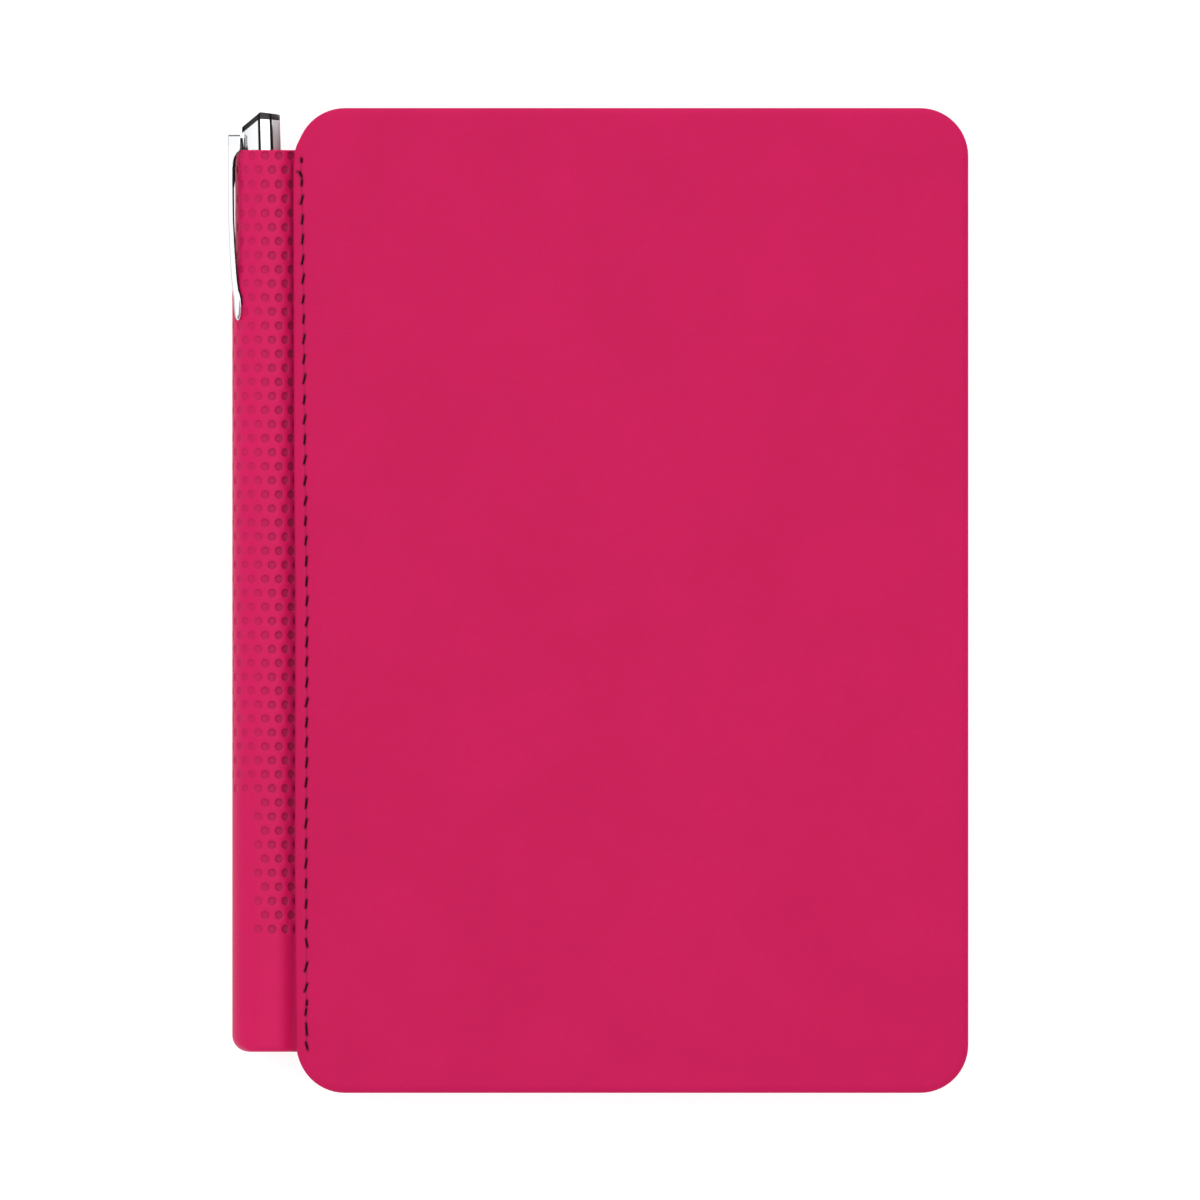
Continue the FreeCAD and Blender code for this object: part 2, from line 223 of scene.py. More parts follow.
# ------------------------------------------------------------------ materials
class Mat:
    def __init__(self, name):
        self.m = bpy.data.materials.new(name)
        self.m.use_nodes = True
        self.t = self.m.node_tree
        self.t.nodes.clear()
        self.out = self.n("ShaderNodeOutputMaterial")
        self.b = self.n("ShaderNodeBsdfPrincipled")
        self.link(self.b, 0, self.out, 0)
        self.co = self.n("ShaderNodeTexCoord")

    def n(self, kind, **kw):
        x = self.t.nodes.new(kind)
        for k, v in kw.items():
            setattr(x, k, v)
        return x

    def link(self, a, i, b, j):
        self.t.links.new(a.outputs[i], b.inputs[j])

    def set(self, **kw):
        for k, v in kw.items():
            self.b.inputs[k.replace("_", " ")].default_value = v

    def noise(self, scale, detail=3.0, rough=0.5, dist=0.0, vec=None):
        x = self.n("ShaderNodeTexNoise")
        x.inputs["Scale"].default_value = scale
        x.inputs["Detail"].default_value = detail
        x.inputs["Roughness"].default_value = rough
        x.inputs["Distortion"].default_value = dist
        if vec is None:
            self.link(self.co, "Object", x, "Vector")
        else:
            self.link(vec, 0, x, "Vector")
        return x

    def voronoi(self, scale, feature="F1", vec=None, rand=1.0):
        x = self.n("ShaderNodeTexVoronoi", feature=feature)
        x.inputs["Scale"].default_value = scale
        x.inputs["Randomness"].default_value = rand
        if vec is None:
            self.link(self.co, "Object", x, "Vector")
        else:
            self.link(vec, 0, x, "Vector")
        return x

    def mapping(self, scale):
        x = self.n("ShaderNodeMapping")
        x.inputs["Scale"].default_value = scale
        self.link(self.co, "Object", x, "Vector")
        return x

    def ramp(self, src, out, stops):
        x = self.n("ShaderNodeValToRGB")
        e = x.color_ramp.elements
        e[0].position, e[0].color = stops[0][0], stops[0][1]
        e[1].position, e[1].color = stops[-1][0], stops[-1][1]
        for p, c in stops[1:-1]:
            k = e.new(p)
            k.color = c
        self.link(src, out, x, 0)
        return x

    def range(self, src, out, a, b, lo=0.0, hi=1.0):
        x = self.n("ShaderNodeMapRange")
        for i, v in zip((1, 2, 3, 4), (lo, hi, a, b)):
            x.inputs[i].default_value = v
        self.link(src, out, x, 0)
        return x

    def math(self, op, a, b=None, value=None):
        x = self.n("ShaderNodeMath", operation=op)
        self.link(a[0], a[1], x, 0)
        if b is not None:
            self.link(b[0], b[1], x, 1)
        elif value is not None:
            x.inputs[1].default_value = value
        return x

    def mix(self, fac, c1, c2, blend="MIX"):
        x = self.n("ShaderNodeMix", data_type="RGBA", blend_type=blend)
        for sock, c in (("A", c1), ("B", c2)):
            i = [k for k, s in enumerate(x.inputs) if s.name == sock and s.type == "RGBA"][0]
            if isinstance(c, tuple):
                if isinstance(c[0], (int, float)):
                    x.inputs[i].default_value = c
                else:
                    self.t.links.new(c[0].outputs[c[1]], x.inputs[i])
        if isinstance(fac, tuple):
            self.t.links.new(fac[0].outputs[fac[1]], x.inputs[0])
        else:
            x.inputs[0].default_value = fac
        self.mix_out = [k for k, s in enumerate(x.outputs) if s.type == "RGBA"][0]
        return x

    def bump(self, height, out, strength, distance, chain=None):
        x = self.n("ShaderNodeBump")
        x.inputs["Strength"].default_value = strength
        x.inputs["Distance"].default_value = distance
        self.link(height, out, x, "Height")
        if chain is not None:
            self.link(chain, 0, x, "Normal")
        return x


def leatherette():
    m = Mat("leatherette")
    base = lin(201, 15, 86)
    dark = lin(197, 14, 84)
    light = lin(204, 17, 88)
    big = m.noise(45.0, 4.0, 0.6)
    mot = m.range(big, 0, 0.0, 1.0, 0.40, 0.62)
    fine = m.noise(900.0, 2.0, 0.6)
    c1 = m.mix((mot, 0), dark, base)
    f1 = m.range(fine, 0, 0.0, 0.35, 0.45, 0.75)
    c2 = m.mix((f1, 0), (c1, 2), light)
    # painted shade: the seam's pressed line, stitch pulls and needle holes are darkened towards lin(96, 16, 44)
    edge = m.n("ShaderNodeAttribute", attribute_name="seam_shade")
    c3 = m.mix((edge, "Fac"), (c2, 2), lin(96, 16, 44))
    m.link(c3, 2, m.b, "Base Color")
    # grain: small pebbles with fine creases and pores
    warp = m.noise(260.0, 2.0, 0.5)
    vor = m.voronoi(1500.0, "DISTANCE_TO_EDGE")
    cre = m.range(vor, 0, 0.0, 1.0, 0.0, 0.22)
    vor2 = m.voronoi(620.0, "DISTANCE_TO_EDGE", rand=1.0)
    cre2 = m.range(vor2, 0, 0.0, 1.0, 0.0, 0.10)
    b1 = m.bump(cre, 0, 0.16, 0.00006)
    b2 = m.bump(cre2, 0, 0.12, 0.00010, b1)
    b3 = m.bump(warp, 0, 0.10, 0.00030, b2)
    b4 = m.bump(fine, 0, 0.10, 0.00004, b3)
    m.link(b4, 0, m.b, "Normal")
    r = m.range(fine, 0, 0.52, 0.64, 0.3, 0.7)
    m.link(r, 0, m.b, "Roughness")
    m.set(Specular_IOR_Level=0.16)
    return m.m


def soft_plastic(name="soft_plastic"):
    m = Mat(name)
    base = lin(209, 16, 90)
    big = m.noise(40.0, 3.0, 0.5)
    c1 = m.mix((m.range(big, 0, 0.0, 1.0, 0.35, 0.65), 0), lin(205, 15, 88), base)
    # painted shade: the dimples' floors and, most of all, their walls are darkened towards lin(128, 22, 62), weighted
    # strongest nearest the hinge
    dim = m.n("ShaderNodeAttribute", attribute_name="dimple")
    dimple_shade_weight = m.n("ShaderNodeAttribute", attribute_name="dimple_shade_weight")
    ring = m.ramp(dim, "Fac", [(0.0, (0, 0, 0, 1)), (0.12, (0.30,) * 3 + (1,)), (0.45, (1, 1, 1, 1)), (0.72, (1, 1, 1, 1)), (0.92, (0.62,) * 3 + (1,)), (1.0, (0.52,) * 3 + (1,))])
    fac = m.math("MULTIPLY", (ring, 0), (dimple_shade_weight, 2))
    c2 = m.mix((fac, 0), (c1, 2), lin(128, 22, 62))
    # painted shade in the crease beside the cover: the sleeve darkens towards lin(104, 34, 60) there, more towards the
    # mouth
    fold_shade = m.n("ShaderNodeAttribute", attribute_name="fold_shade")
    fold_by = m.range(fold_shade, 2, 0.0, 0.20, 0.0, 1.0)
    c2 = m.mix((fold_by, 0), (c2, 2), lin(104, 34, 60))
    m.link(c2, 2, m.b, "Base Color")
    fine = m.noise(1800.0, 2.0, 0.6)
    b = m.bump(fine, 0, 0.08, 0.00004)
    m.link(b, 0, m.b, "Normal")
    m.link(m.range(fine, 0, 0.46, 0.56, 0.3, 0.7), 0, m.b, "Roughness")
    m.set(Specular_IOR_Level=0.18)
    return m.m


def thread(name, col, col2):
    m = Mat(name)
    mp = m.mapping((1.0, 1.0, 1.0))
    w = m.n("ShaderNodeTexWave", wave_type="BANDS", bands_direction="DIAGONAL")
    w.inputs["Scale"].default_value = 900.0
    w.inputs["Distortion"].default_value = 0.6
    m.link(mp, 0, w, "Vector")
    f = m.noise(3000.0, 2.0, 0.7)
    c = m.mix((w, "Fac"), col, col2)
    m.link(c, 2, m.b, "Base Color")
    b = m.bump(w, "Fac", 0.5, 0.00006)
    b2 = m.bump(f, 0, 0.3, 0.00003, b)
    m.link(b2, 0, m.b, "Normal")
    m.link(m.range(f, 0, 0.5, 0.75), 0, m.b, "Roughness")
    m.set(Specular_IOR_Level=0.1)
    return m.m


def microfibre(name, c_dark, c_light):
    m = Mat(name)
    big = m.noise(60.0, 4.0, 0.6, 0.4)
    fine = m.noise(2600.0, 3.0, 0.7)
    c = m.mix((m.range(big, 0, 0.0, 1.0, 0.35, 0.65), 0), c_dark, c_light)
    c2 = m.mix((m.range(fine, 0, 0.0, 0.5, 0.4, 0.7), 0), (c, 2), tuple(min(1, 1.6 * v) for v in c_light[:3]) + (1,))
    m.link(c2, 2, m.b, "Base Color")
    b = m.bump(fine, 0, 0.5, 0.00010)
    b2 = m.bump(big, 0, 0.15, 0.0004, b)
    m.link(b2, 0, m.b, "Normal")
    m.link(m.range(fine, 0, 0.85, 1.0), 0, m.b, "Roughness")
    m.set(Sheen_Weight=0.5, Sheen_Roughness=0.5, Specular_IOR_Level=0.15)
    return m.m


def metal(name, col, rough, brushed=0.0, scuff=0.03):
    m = Mat(name)
    big = m.noise(120.0, 3.0, 0.6)
    c = m.mix((m.range(big, 0, 0.0, 1.0, 0.4, 0.6), 0), tuple(v * 0.97 for v in col[:3]) + (1,), col)
    m.link(c, 2, m.b, "Base Color")
    if brushed > 0:
        mp = m.mapping((1.0, 90.0, 1.0))
        f = m.noise(240.0, 3.0, 0.6, vec=mp)
        b = m.bump(f, 0, brushed, 0.00003)
        m.link(b, 0, m.b, "Normal")
        m.link(m.range(f, 0, rough * 0.8, rough * 1.3, 0.3, 0.7), 0, m.b, "Roughness")
    else:
        f = m.noise(500.0, 4.0, 0.7)
        m.link(m.range(f, 0, rough, rough + scuff, 0.45, 0.75), 0, m.b, "Roughness")
    m.set(Metallic=1.0)
    return m.m


def plastic(name, c1, c2, rough=(0.35, 0.5), grain=0.1, scale=1500.0, spec=0.4):
    m = Mat(name)
    big = m.noise(50.0, 3.0, 0.5)
    f = m.noise(scale, 3.0, 0.6)
    c = m.mix((m.range(big, 0, 0.0, 1.0, 0.35, 0.65), 0), c1, c2)
    m.link(c, 2, m.b, "Base Color")
    b = m.bump(f, 0, grain, 0.00005)
    m.link(b, 0, m.b, "Normal")
    m.link(m.range(f, 0, rough[0], rough[1], 0.3, 0.7), 0, m.b, "Roughness")
    m.set(Specular_IOR_Level=spec)
    return m.m


M_LEATHER = leatherette()
M_SOFT = soft_plastic()
M_THREAD = thread("seam_thread", lin(44, 2, 16), lin(20, 1, 8))
M_LINING = microfibre("microfibre_grey", lin(52, 52, 56), lin(66, 66, 70))
M_PAD = microfibre("tray_pad_felt", lin(40, 40, 44), lin(52, 52, 56))
M_TRAY = plastic("tray_plastic_black", lin(26, 26, 28), lin(32, 32, 35), (0.42, 0.6), 0.25, 1400.0)
M_BOARD = plastic("grey_board", lin(150, 140, 124), lin(170, 160, 144), (0.8, 0.95), 0.4, 700.0, 0.2)
M_GLUE = plastic("bonding_film", lin(205, 202, 190), lin(220, 217, 206), (0.4, 0.6), 0.2)
M_CHROME = metal("chrome_bright", (0.86, 0.87, 0.89, 1), 0.05)
M_CHROME2 = metal("chrome_clip", (0.88, 0.89, 0.91, 1), 0.07)
M_CHROME3 = metal("chrome_button", (0.86, 0.87, 0.89, 1), 0.15, scuff=0.05)
# darker copies of the clip's chrome: painted reflections, grey on the clip's outer corner and dark across its top end
M_PAINTED_REFLECTION_GREY = metal("painted_reflection_grey_edge", (0.60, 0.60, 0.61, 1), 0.22)
M_PAINTED_REFLECTION_DARK = metal("painted_reflection_dark_end", (0.24, 0.24, 0.25, 1), 0.25)
M_SATIN = metal("button_satin", (0.96, 0.96, 0.96, 1), 0.50, scuff=0.12)
M_ALU = metal("pen_barrel_satin", (0.74, 0.745, 0.76, 1), 0.28, 0.25)
M_STEEL = metal("steel", (0.62, 0.62, 0.64, 1), 0.25)
M_BRASS = metal("brass", (0.80, 0.62, 0.30, 1), 0.22)
M_MAGNET = metal("magnet_plating", (0.60, 0.60, 0.62, 1), 0.3)
M_BLACK = plastic("black_gloss", lin(14, 14, 16), lin(18, 18, 20), (0.15, 0.25), 0.05, 900.0, 0.5)
M_CAP = plastic("button_cap_black", lin(10, 5, 4), lin(22, 11, 8), (0.12, 0.22), 0.04, 900.0, 0.42)
# black plastic standing for painted shade and dark reflections: the clip's inner edge and the button's facet corners
M_PAINTED_SHADE_BLACK = plastic("painted_shade_black_edge", lin(12, 10, 12), lin(18, 14, 16), (0.45, 0.6), 0.05, 900.0, 0.15)
M_MATT = plastic("button_cap_matt", lin(20, 13, 12), lin(28, 18, 16), (0.7, 0.9), 0.1, 900.0, 0.0)
M_GRIP = plastic("grip_rubber", lin(20, 20, 22), lin(26, 26, 28), (0.6, 0.75), 0.3, 1800.0, 0.3)
M_WHITE = plastic("cam_white", lin(226, 226, 222), lin(236, 236, 232), (0.3, 0.45), 0.1)
M_REFILL = plastic("refill_plastic", lin(214, 217, 222), lin(226, 229, 233), (0.25, 0.4), 0.05)

# ------------------------------------------------------------------ the covers' leather
SEAM_YS = [-104.5, -88.0, -70.0, -55.0, -42.0, -30.0, -10.0, 3.0, 14.0, 30.0, 48.0, 65.0, 82.0, 90.0, 104.5]
SEAM_XS = [-69.20, -69.20, -69.21, -69.26, -69.23, -69.13, -69.08, -69.10, -69.31, -69.49, -69.65, -69.83, -70.05, -70.28, -70.45]
EDGE_YS = [-101.0, -88.0, -71.0, -54.0, -30.0, -10.0, 3.0, 14.0, 30.0, 48.0, 65.0, 82.0, 92.0, 100.5]
EDGE_XS = [0.0, -0.20, -0.34, -0.45, -0.40, -0.36, -0.38, -0.50, -0.60, -0.66, -0.70, -0.76, -0.74, 0.0]


def seam_x(y):
    return float(np.interp(y, SEAM_YS, SEAM_XS))


# stitches: centre height, length, slant in degrees (positive leans right at its upper end), shift across
STITCHES = [(93.4, 0.75, 0.0, 0.10), (90.4, 1.2, -24.0, -0.12), (88.7, 1.35, 4.0, 0.08)]
rnd = random.Random(11)
ROWS_Y = [85.03 - 4.217 * k for k in range(7)] + [59.73 - 4.281 * k for k in range(1, 31)]
for y in ROWS_Y:
    STITCHES.append((y + rnd.uniform(-0.10, 0.10), 1.85 + rnd.uniform(-0.15, 0.15), 11.0 + rnd.uniform(-5, 5), rnd.uniform(-0.05, 0.05)))
STITCHES += [(-72.7, 1.7, -12.0, 0.1), (-77.8, 2.1, 17.0, -0.05), (-82.2, 1.9, 20.0, -0.1), (-85.4, 1.0, 3.0, 0.12), (-87.3, 1.4, 10.0, -0.12),
             (-91.0, 2.5, -5.0, 0.05), (-94.5, 1.4, -16.0, 0.1)]


def leather_panel(name, leaning=False):
    """The wrapped leather of a cover, lying face up as the front cover does."""
    A, Bh = 1.75, 0.95
    prof = []
    # inner underside, under roll, side, upper roll, top
    for d, z in ((16.0, 12.80), (1.2, 12.80), (0.45, 12.82), (0.22, 12.90), (0.06, 13.06), (0.0, 13.26), (0.0, 13.5)):
        prof.append((d, z))
    for i in range(0, 13):
        a = math.pi / 2 * i / 12
        prof.append((A * (1 - math.cos(a)), (T - Bh) + Bh * math.sin(a)))
    d = A
    while d < 4.5:
        d += 0.11
        prof.append((d, T))
    for d in (4.9, 5.6, 7.0, 9.0, 12.0, 18.0, 30.0, 50.0):
        prof.append((d, T))
    rings = [rr_ring(d, z, nleft=860) for d, z in prof]
    verts, faces = loft(rings)
    V3 = np.array(verts)
    x, yy, z = V3[:, 0], V3[:, 1], V3[:, 2]
    top = z > 13.7
    # the leather runs down a little towards the spine
    t = np.clip((-66.2 - x) / 3.6, 0, 1)
    z = z - np.where(top, 0.16 * t * t * (3 - 2 * t), 0)
    # seam: pressed line and a pull at every stitch
    sx = np.interp(yy, SEAM_YS, SEAM_XS)
    on = np.clip((yy + 95.8) / 0.8, 0, 1) * np.clip((94.6 - yy) / 0.8, 0, 1)
    dx = x - sx
    line = np.exp(-(dx / 0.17) ** 2) * on
    wide = np.exp(-(dx / 1.1) ** 2) * on
    pull = np.zeros(len(x))
    hole = np.zeros(len(x))
    for (cy, L, sl, sh) in STITCHES:
        near = np.abs(yy - cy) < 4
        if not near.any():
            continue
        a = math.radians(sl)
        ddx = x[near] - (sx[near] + sh)
        ddy = yy[near] - cy
        u = ddx * math.sin(a) + ddy * math.cos(a)
        v = ddx * math.cos(a) - ddy * math.sin(a)
        inside = 1 / (1 + np.exp((np.abs(u) - L / 2 - 0.05) / 0.10))
        pull[near] = np.maximum(pull[near], inside * np.exp(-(v / 0.30) ** 2))
        for s in (-1, 1):
            h = np.exp(-(((u - s * (L / 2 + 0.05)) / 0.22) ** 2 + (v / 0.24) ** 2))
            hole[near] = np.maximum(hole[near], h)
    dz = 0.06 * line + 0.05 * wide + 0.20 * pull + 0.22 * hole
    z = z - np.where(top, dz, 0)
    V3[:, 2] = z
    if leaning:                          # the edge at the spine bulges over it a little
        t = np.clip((-70.35 - x) / 0.85, 0, 1)
        V3[:, 0] = x + np.interp(yy, EDGE_YS, EDGE_XS) * t * t * (3 - 2 * t)
    ob = new_obj(name, V3, faces, M_LEATHER)
    # painted shade for the seam: pressed line, stitch pulls and needle holes, darkened in the leather material
    at = ob.data.attributes.new("seam_shade", "FLOAT", "POINT")
    g = np.where(top, np.clip(0.42 * line + 0.7 * pull + 0.9 * hole, 0, 1), 0)
    at.data.foreach_set("value", g.astype(np.float32))
    fix_normals(ob)
    return ob


def stitch_threads(name, zshift=0.0):
    """One short piece of two-ply thread for every stitch, its ends going down into the leather."""
    verts, faces = [], []
    for (cy, L, sl, sh) in STITCHES:
        a = math.radians(sl)
        cx = seam_x(cy) + sh
        n, m = 14, 10
        rows = []
        for i in range(n + 1):
            t = i / n * 2 - 1
            u = t * (L / 2 + 0.12)
            e = abs(t)
            down = 0.0 if e < 0.55 else ((e - 0.55) / 0.45) ** 2 * 0.62
            rr = 0.185 * (1 - 0.35 * e * e)
            row = []
            for k in range(m):
                q = 2 * math.pi * k / m
                tw = 1.0 + 0.10 * math.cos(2 * q - u * 9.0)
                ox = rr * tw * math.cos(q)
                oz = rr * 0.82 * tw * math.sin(q)
                px = cx + u * math.sin(a) + ox * math.cos(a)
                py = cy + u * math.cos(a) - ox * math.sin(a)
                row.append((px, py, T - 0.33 - down + oz + zshift))
            rows.append(row)
        base = len(verts)
        for row in rows:
            verts += row
        for i in range(n):
            for k in range(m):
                k2 = (k + 1) % m
                faces.append((base + i * m + k, base + i * m + k2, base + (i + 1) * m + k2, base + (i + 1) * m + k))
        faces.append(tuple(base + k for k in range(m))[::-1])
        faces.append(tuple(base + n * m + k for k in range(m)))
    ob = new_obj(name, verts, faces, M_THREAD)
    fix_normals(ob)
    return ob


def flip(ob):
    """Mirrors a mesh in the mid plane of the thickness."""
    co = np.array([v.co for v in ob.data.vertices])
    co[:, 2] = T * MM - co[:, 2]
    ob.data.vertices.foreach_set("co", co.astype(np.float32).ravel())
    bm = bmesh.new()
    bm.from_mesh(ob.data)
    bmesh.ops.reverse_faces(bm, faces=bm.faces)
    bm.to_mesh(ob.data)
    bm.free()
    ob.data.update()
    return ob


def cutter(name, x0, x1, y0, y1, r, z0, z1, flare=0.0):
    rings = []
    def ring(d, z):
        return rr_ring(d, z, (x0, x1), (y0, y1), r, 8, 8, 8, 8, 0.5)
    rings = [ring(0, z0), ring(0, z1)]
    v, f = loft(rings)
    ob = new_obj(name, v, f, None, smooth=False)
    fix_normals(ob)
    return ob


def cut(ob, tool):
    md = ob.modifiers.new("cut", "BOOLEAN")
    md.operation = "DIFFERENCE"
    md.solver = "EXACT"
    md.object = tool
    bpy.context.view_layer.objects.active = ob
    for o in bpy.context.selected_objects:
        o.select_set(False)
    ob.select_set(True)
    bpy.ops.object.modifier_apply(modifier="cut")
    bpy.data.objects.remove(tool, do_unlink=True)
    sharp_by_angle(ob.data, 40)
    return ob


cover_leather = leather_panel("cover_leather", leaning=True)
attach(cover_leather, "cover"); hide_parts("cover_skin")
cover_thread = stitch_threads("cover_thread")
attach(cover_thread, "cover"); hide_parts("cover_stitches")

CAM = (52.0, 64.0, 84.0, 96.0)
back_leather = flip(leather_panel("back_leather"))
back_leather = cut(back_leather, cutter("cam_cut_a", *CAM, 3.0, -1.0, 5.0))
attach(back_leather, "back"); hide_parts("back_skin")
back_thread = flip(stitch_threads("back_thread"))
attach(back_thread, "back"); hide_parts("back_stitches")


def lining_sheet(name, inset=0.8, z0=12.5, z1=12.8):
    prof = [(18.0, z0 + 0.0), (1.4, z0), (inset + 0.12, z0 + 0.02), (inset + 0.03, z0 + 0.08), (inset, z0 + 0.15), (inset, z1), (18.0, z1)]
    rings = [rr_ring(d, z, nleft=60, nside=60) for d, z in prof]
    v, f = loft(rings)
    ob = new_obj(name, v, f, M_LINING)
    fix_normals(ob)
    sharp_by_angle(ob.data, 50)
    return ob


cover_cloth = lining_sheet("cover_lining_cloth")
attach(cover_cloth, "cover"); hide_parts("cover_lining")
back_cloth = flip(lining_sheet("back_lining_cloth"))
back_cloth = cut(back_cloth, cutter("cam_cut_b", *CAM, 3.0, -1.0, 5.0))
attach(back_cloth, "back"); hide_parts("back_lining")

# ------------------------------------------------------------------ the spine moulding
R1, R2 = 6.15, 5.85
FLAT0, FLAT1 = -76.6, PEN_X           # ends of the flat top, x
TOPZ = 13.95
L_FLAT = FLAT0 - FLAT1
A_END = math.radians(43.0)


def catmull(pts, per=12):
    out = []
    P = [np.array(p, float) for p in pts]
    P = [2 * P[0] - P[1]] + P + [2 * P[-1] - P[-2]]
    for i in range(1, len(P) - 2):
        for k in range(per):
            t = k / per
            a, b, c, d = P[i - 1], P[i], P[i + 1], P[i + 2]
            out.append(0.5 * ((2 * b) + (-a + c) * t + (2 * a - 5 * b + 4 * c - d) * t * t + (-a + 3 * b - 3 * c + d) * t ** 3))
    out.append(P[-2])
    return out


def section_path():
    """Outer line of the moulding from the flat's right end, towards the web: (x, z) by distance."""
    right = []
    for i in range(0, 25):
        a = A_END * i / 24
        right.append((FLAT0 + R2 * math.sin(a), TOPZ - R2 + R2 * math.cos(a)))
    xe, ze = right[-1]
    web = catmull([(xe, ze), (-72.22, 12.07), (-71.75, 11.93), (-71.25, 12.02), (-70.8, 12.25), (-70.3, 12.42), (-69.6, 12.46)], 8)
    right += [tuple(p) for p in web[1:]]
    left = []
    for i in range(1, 5):
        left.append((FLAT0 - L_FLAT * i / 4, TOPZ))
    for i in range(1, 33):
        a = math.pi / 2 * i / 32
        left.append((PEN_X - R1 * math.sin(a), (TOPZ - R1) + R1 * math.cos(a)))
    half = left
    mirrored = [(x, T - z) for x, z in half[::-1]]
    left = half + mirrored + [(FLAT0, T - TOPZ)]
    back = [(x, T - z) for x, z in right[1:]]
    full = right[::-1] + left + back
    P = [np.array(full[0], float)]
    for q in full[1:]:
        q = np.array(q, float)
        if np.linalg.norm(q - P[-1]) > 1e-5:
            P.append(q)
    P = np.array(P)
    s = np.concatenate([[0], np.cumsum(np.linalg.norm(np.diff(P, axis=0), axis=1))])
    # zero at the right end of the flat top
    i0 = int(np.argmin(np.abs(P[:, 0] - FLAT0) + np.abs(P[:, 1] - TOPZ)))
    return s - s[i0], P


S_TAB, P_TAB = section_path()
_d = np.gradient(P_TAB, S_TAB, axis=0)
_d /= np.linalg.norm(_d, axis=1)[:, None]
N_TAB = np.stack([-_d[:, 1], _d[:, 0]], axis=1)
if N_TAB[np.argmin(np.abs(S_TAB - 1.0))][1] < 0:
    N_TAB = -N_TAB


def on_section(s):
    p = np.stack([np.interp(s, S_TAB, P_TAB[:, 0]), np.interp(s, S_TAB, P_TAB[:, 1])], axis=-1)
    n = np.stack([np.interp(s, S_TAB, N_TAB[:, 0]), np.interp(s, S_TAB, N_TAB[:, 1])], axis=-1)
    n /= np.linalg.norm(n, axis=-1)[..., None]
    return p, n


PITCH_S, PITCH_Y = 2.97, 2.985
S0 = -0.1 - 1.485 * 5                 # right end of the dimpled field
S1 = S0 + 12.5 * PITCH_S
ROW0 = 94.43
ROWS = 56
DIV = 6
DEPTH = 0.30
MOUTH, FOOT = 95.6, -95.8


def has_dimple(row, s):
    if row >= ROWS:
        return False
    if row >= 46 and 3.9 < s < 24.72 - 3.9:
        return False
    return True


def sleeve_field():
    V, F, D = [], [], []
    cuts = [(0.0, 1.0), (0.36, 0.98), (0.66, 0.92), (0.78, 0.68), (0.88, 0.12), (0.97, 0.0)]
    sq = []
    for side in range(4):
        for k in range(DIV):
            t = k / DIV * 2 - 1
            sq.append([(t, -1), (1, t), (-t, 1), (-1, -t)][side])
    sq = np.array(sq, float)
    ang = np.arctan2(sq[:, 1], sq[:, 0])
    n = len(sq)

    def tile(cs, cy, dimple):
        base = len(V)
        V.append((cs, cy)); D.append(1.0 if dimple else 0.0)
        for r, dep in cuts[1:]:
            for a in ang:
                V.append((cs + r * math.cos(a), cy + r * math.sin(a)))
                D.append(dep if dimple else 0.0)
        for q in sq:
            V.append((cs + q[0] * PITCH_S / 2, cy + q[1] * PITCH_Y / 2)); D.append(0.0)
        R = len(cuts)
        for i in range(n):
            F.append((base, base + 1 + i, base + 1 + (i + 1) % n))
        for k in range(R - 1):
            o, o2 = base + 1 + k * n, base + 1 + (k + 1) * n
            for i in range(n):
                j = (i + 1) % n
                F.append((o + i, o2 + i, o2 + j, o + j))

    def grid(s0, s1, ns, y0, y1, ny):
        base = len(V)
        for i in range(ns + 1):
            for j in range(ny + 1):
                V.append((s0 + (s1 - s0) * i / ns, y0 + (y1 - y0) * j / ny)); D.append(0.0)
        for i in range(ns):
            for j in range(ny):
                a = base + i * (ny + 1) + j
                F.append((a, a + ny + 1, a + ny + 2, a + 1))

    for row in range(ROWS):
        cy = ROW0 - row * PITCH_Y
        if row % 2 == 0:                       # centres on the odd half lines, gutter included
            grid(S0, S0 + PITCH_S / 2, DIV // 2, cy - PITCH_Y / 2, cy + PITCH_Y / 2, DIV)
            for k in range(1, 13):
                cs = S0 + k * PITCH_S
                tile(cs, cy, has_dimple(row, cs))
        else:
            for k in range(12):
                cs = S0 + PITCH_S / 2 + k * PITCH_S
                tile(cs, cy, has_dimple(row, cs))
            grid(S1 - PITCH_S / 2, S1, DIV // 2, cy - PITCH_Y / 2, cy + PITCH_Y / 2, DIV)
    ylast = ROW0 - (ROWS - 1) * PITCH_Y - PITCH_Y / 2
    # plain foot of the moulding
    ylines = list(np.linspace(ylast, FOOT + 4.0, 22))
    for i in range(1, 17):
        a = math.pi / 2 * i / 16
        ylines.append(FOOT + 4.0 - 4.0 * math.sin(a) ** 1.0)
    ylines = [float(v) for v in ylines]
    for a, b in zip(ylines[:-1], ylines[1:]):
        grid(S0, S1, 25 * DIV // 2, b, a, 1)
    V2 = np.array(V)
    D2 = np.array(D)
    # the fabric is stretched a little towards the mouth
    def smooth(t):
        t = np.clip(t, 0, 1)
        return t * t * (3 - 2 * t)
    yv = V2[:, 1]
    V2[:, 1] = yv - 0.32 * smooth((94.4 - yv) / 13.0) * smooth((yv + 42.0) / 42.0)
    # close the top row at the mouth
    V2[:, 1] = np.minimum(V2[:, 1], MOUTH - 0.26)
    key = np.round(V2 * 2000).astype(np.int64)
    uniq, first, inv = np.unique(key, axis=0, return_index=True, return_inverse=True)
    inv = inv.ravel()
    V2, D2 = V2[first], D2[first]
    F2 = []
    for f in F:
        g = [int(inv[i]) for i in f]
        h = []
        for i in g:
            if i not in h:
                h.append(i)
        if len(h) >= 3:
            F2.append(h)
    return V2, D2, F2


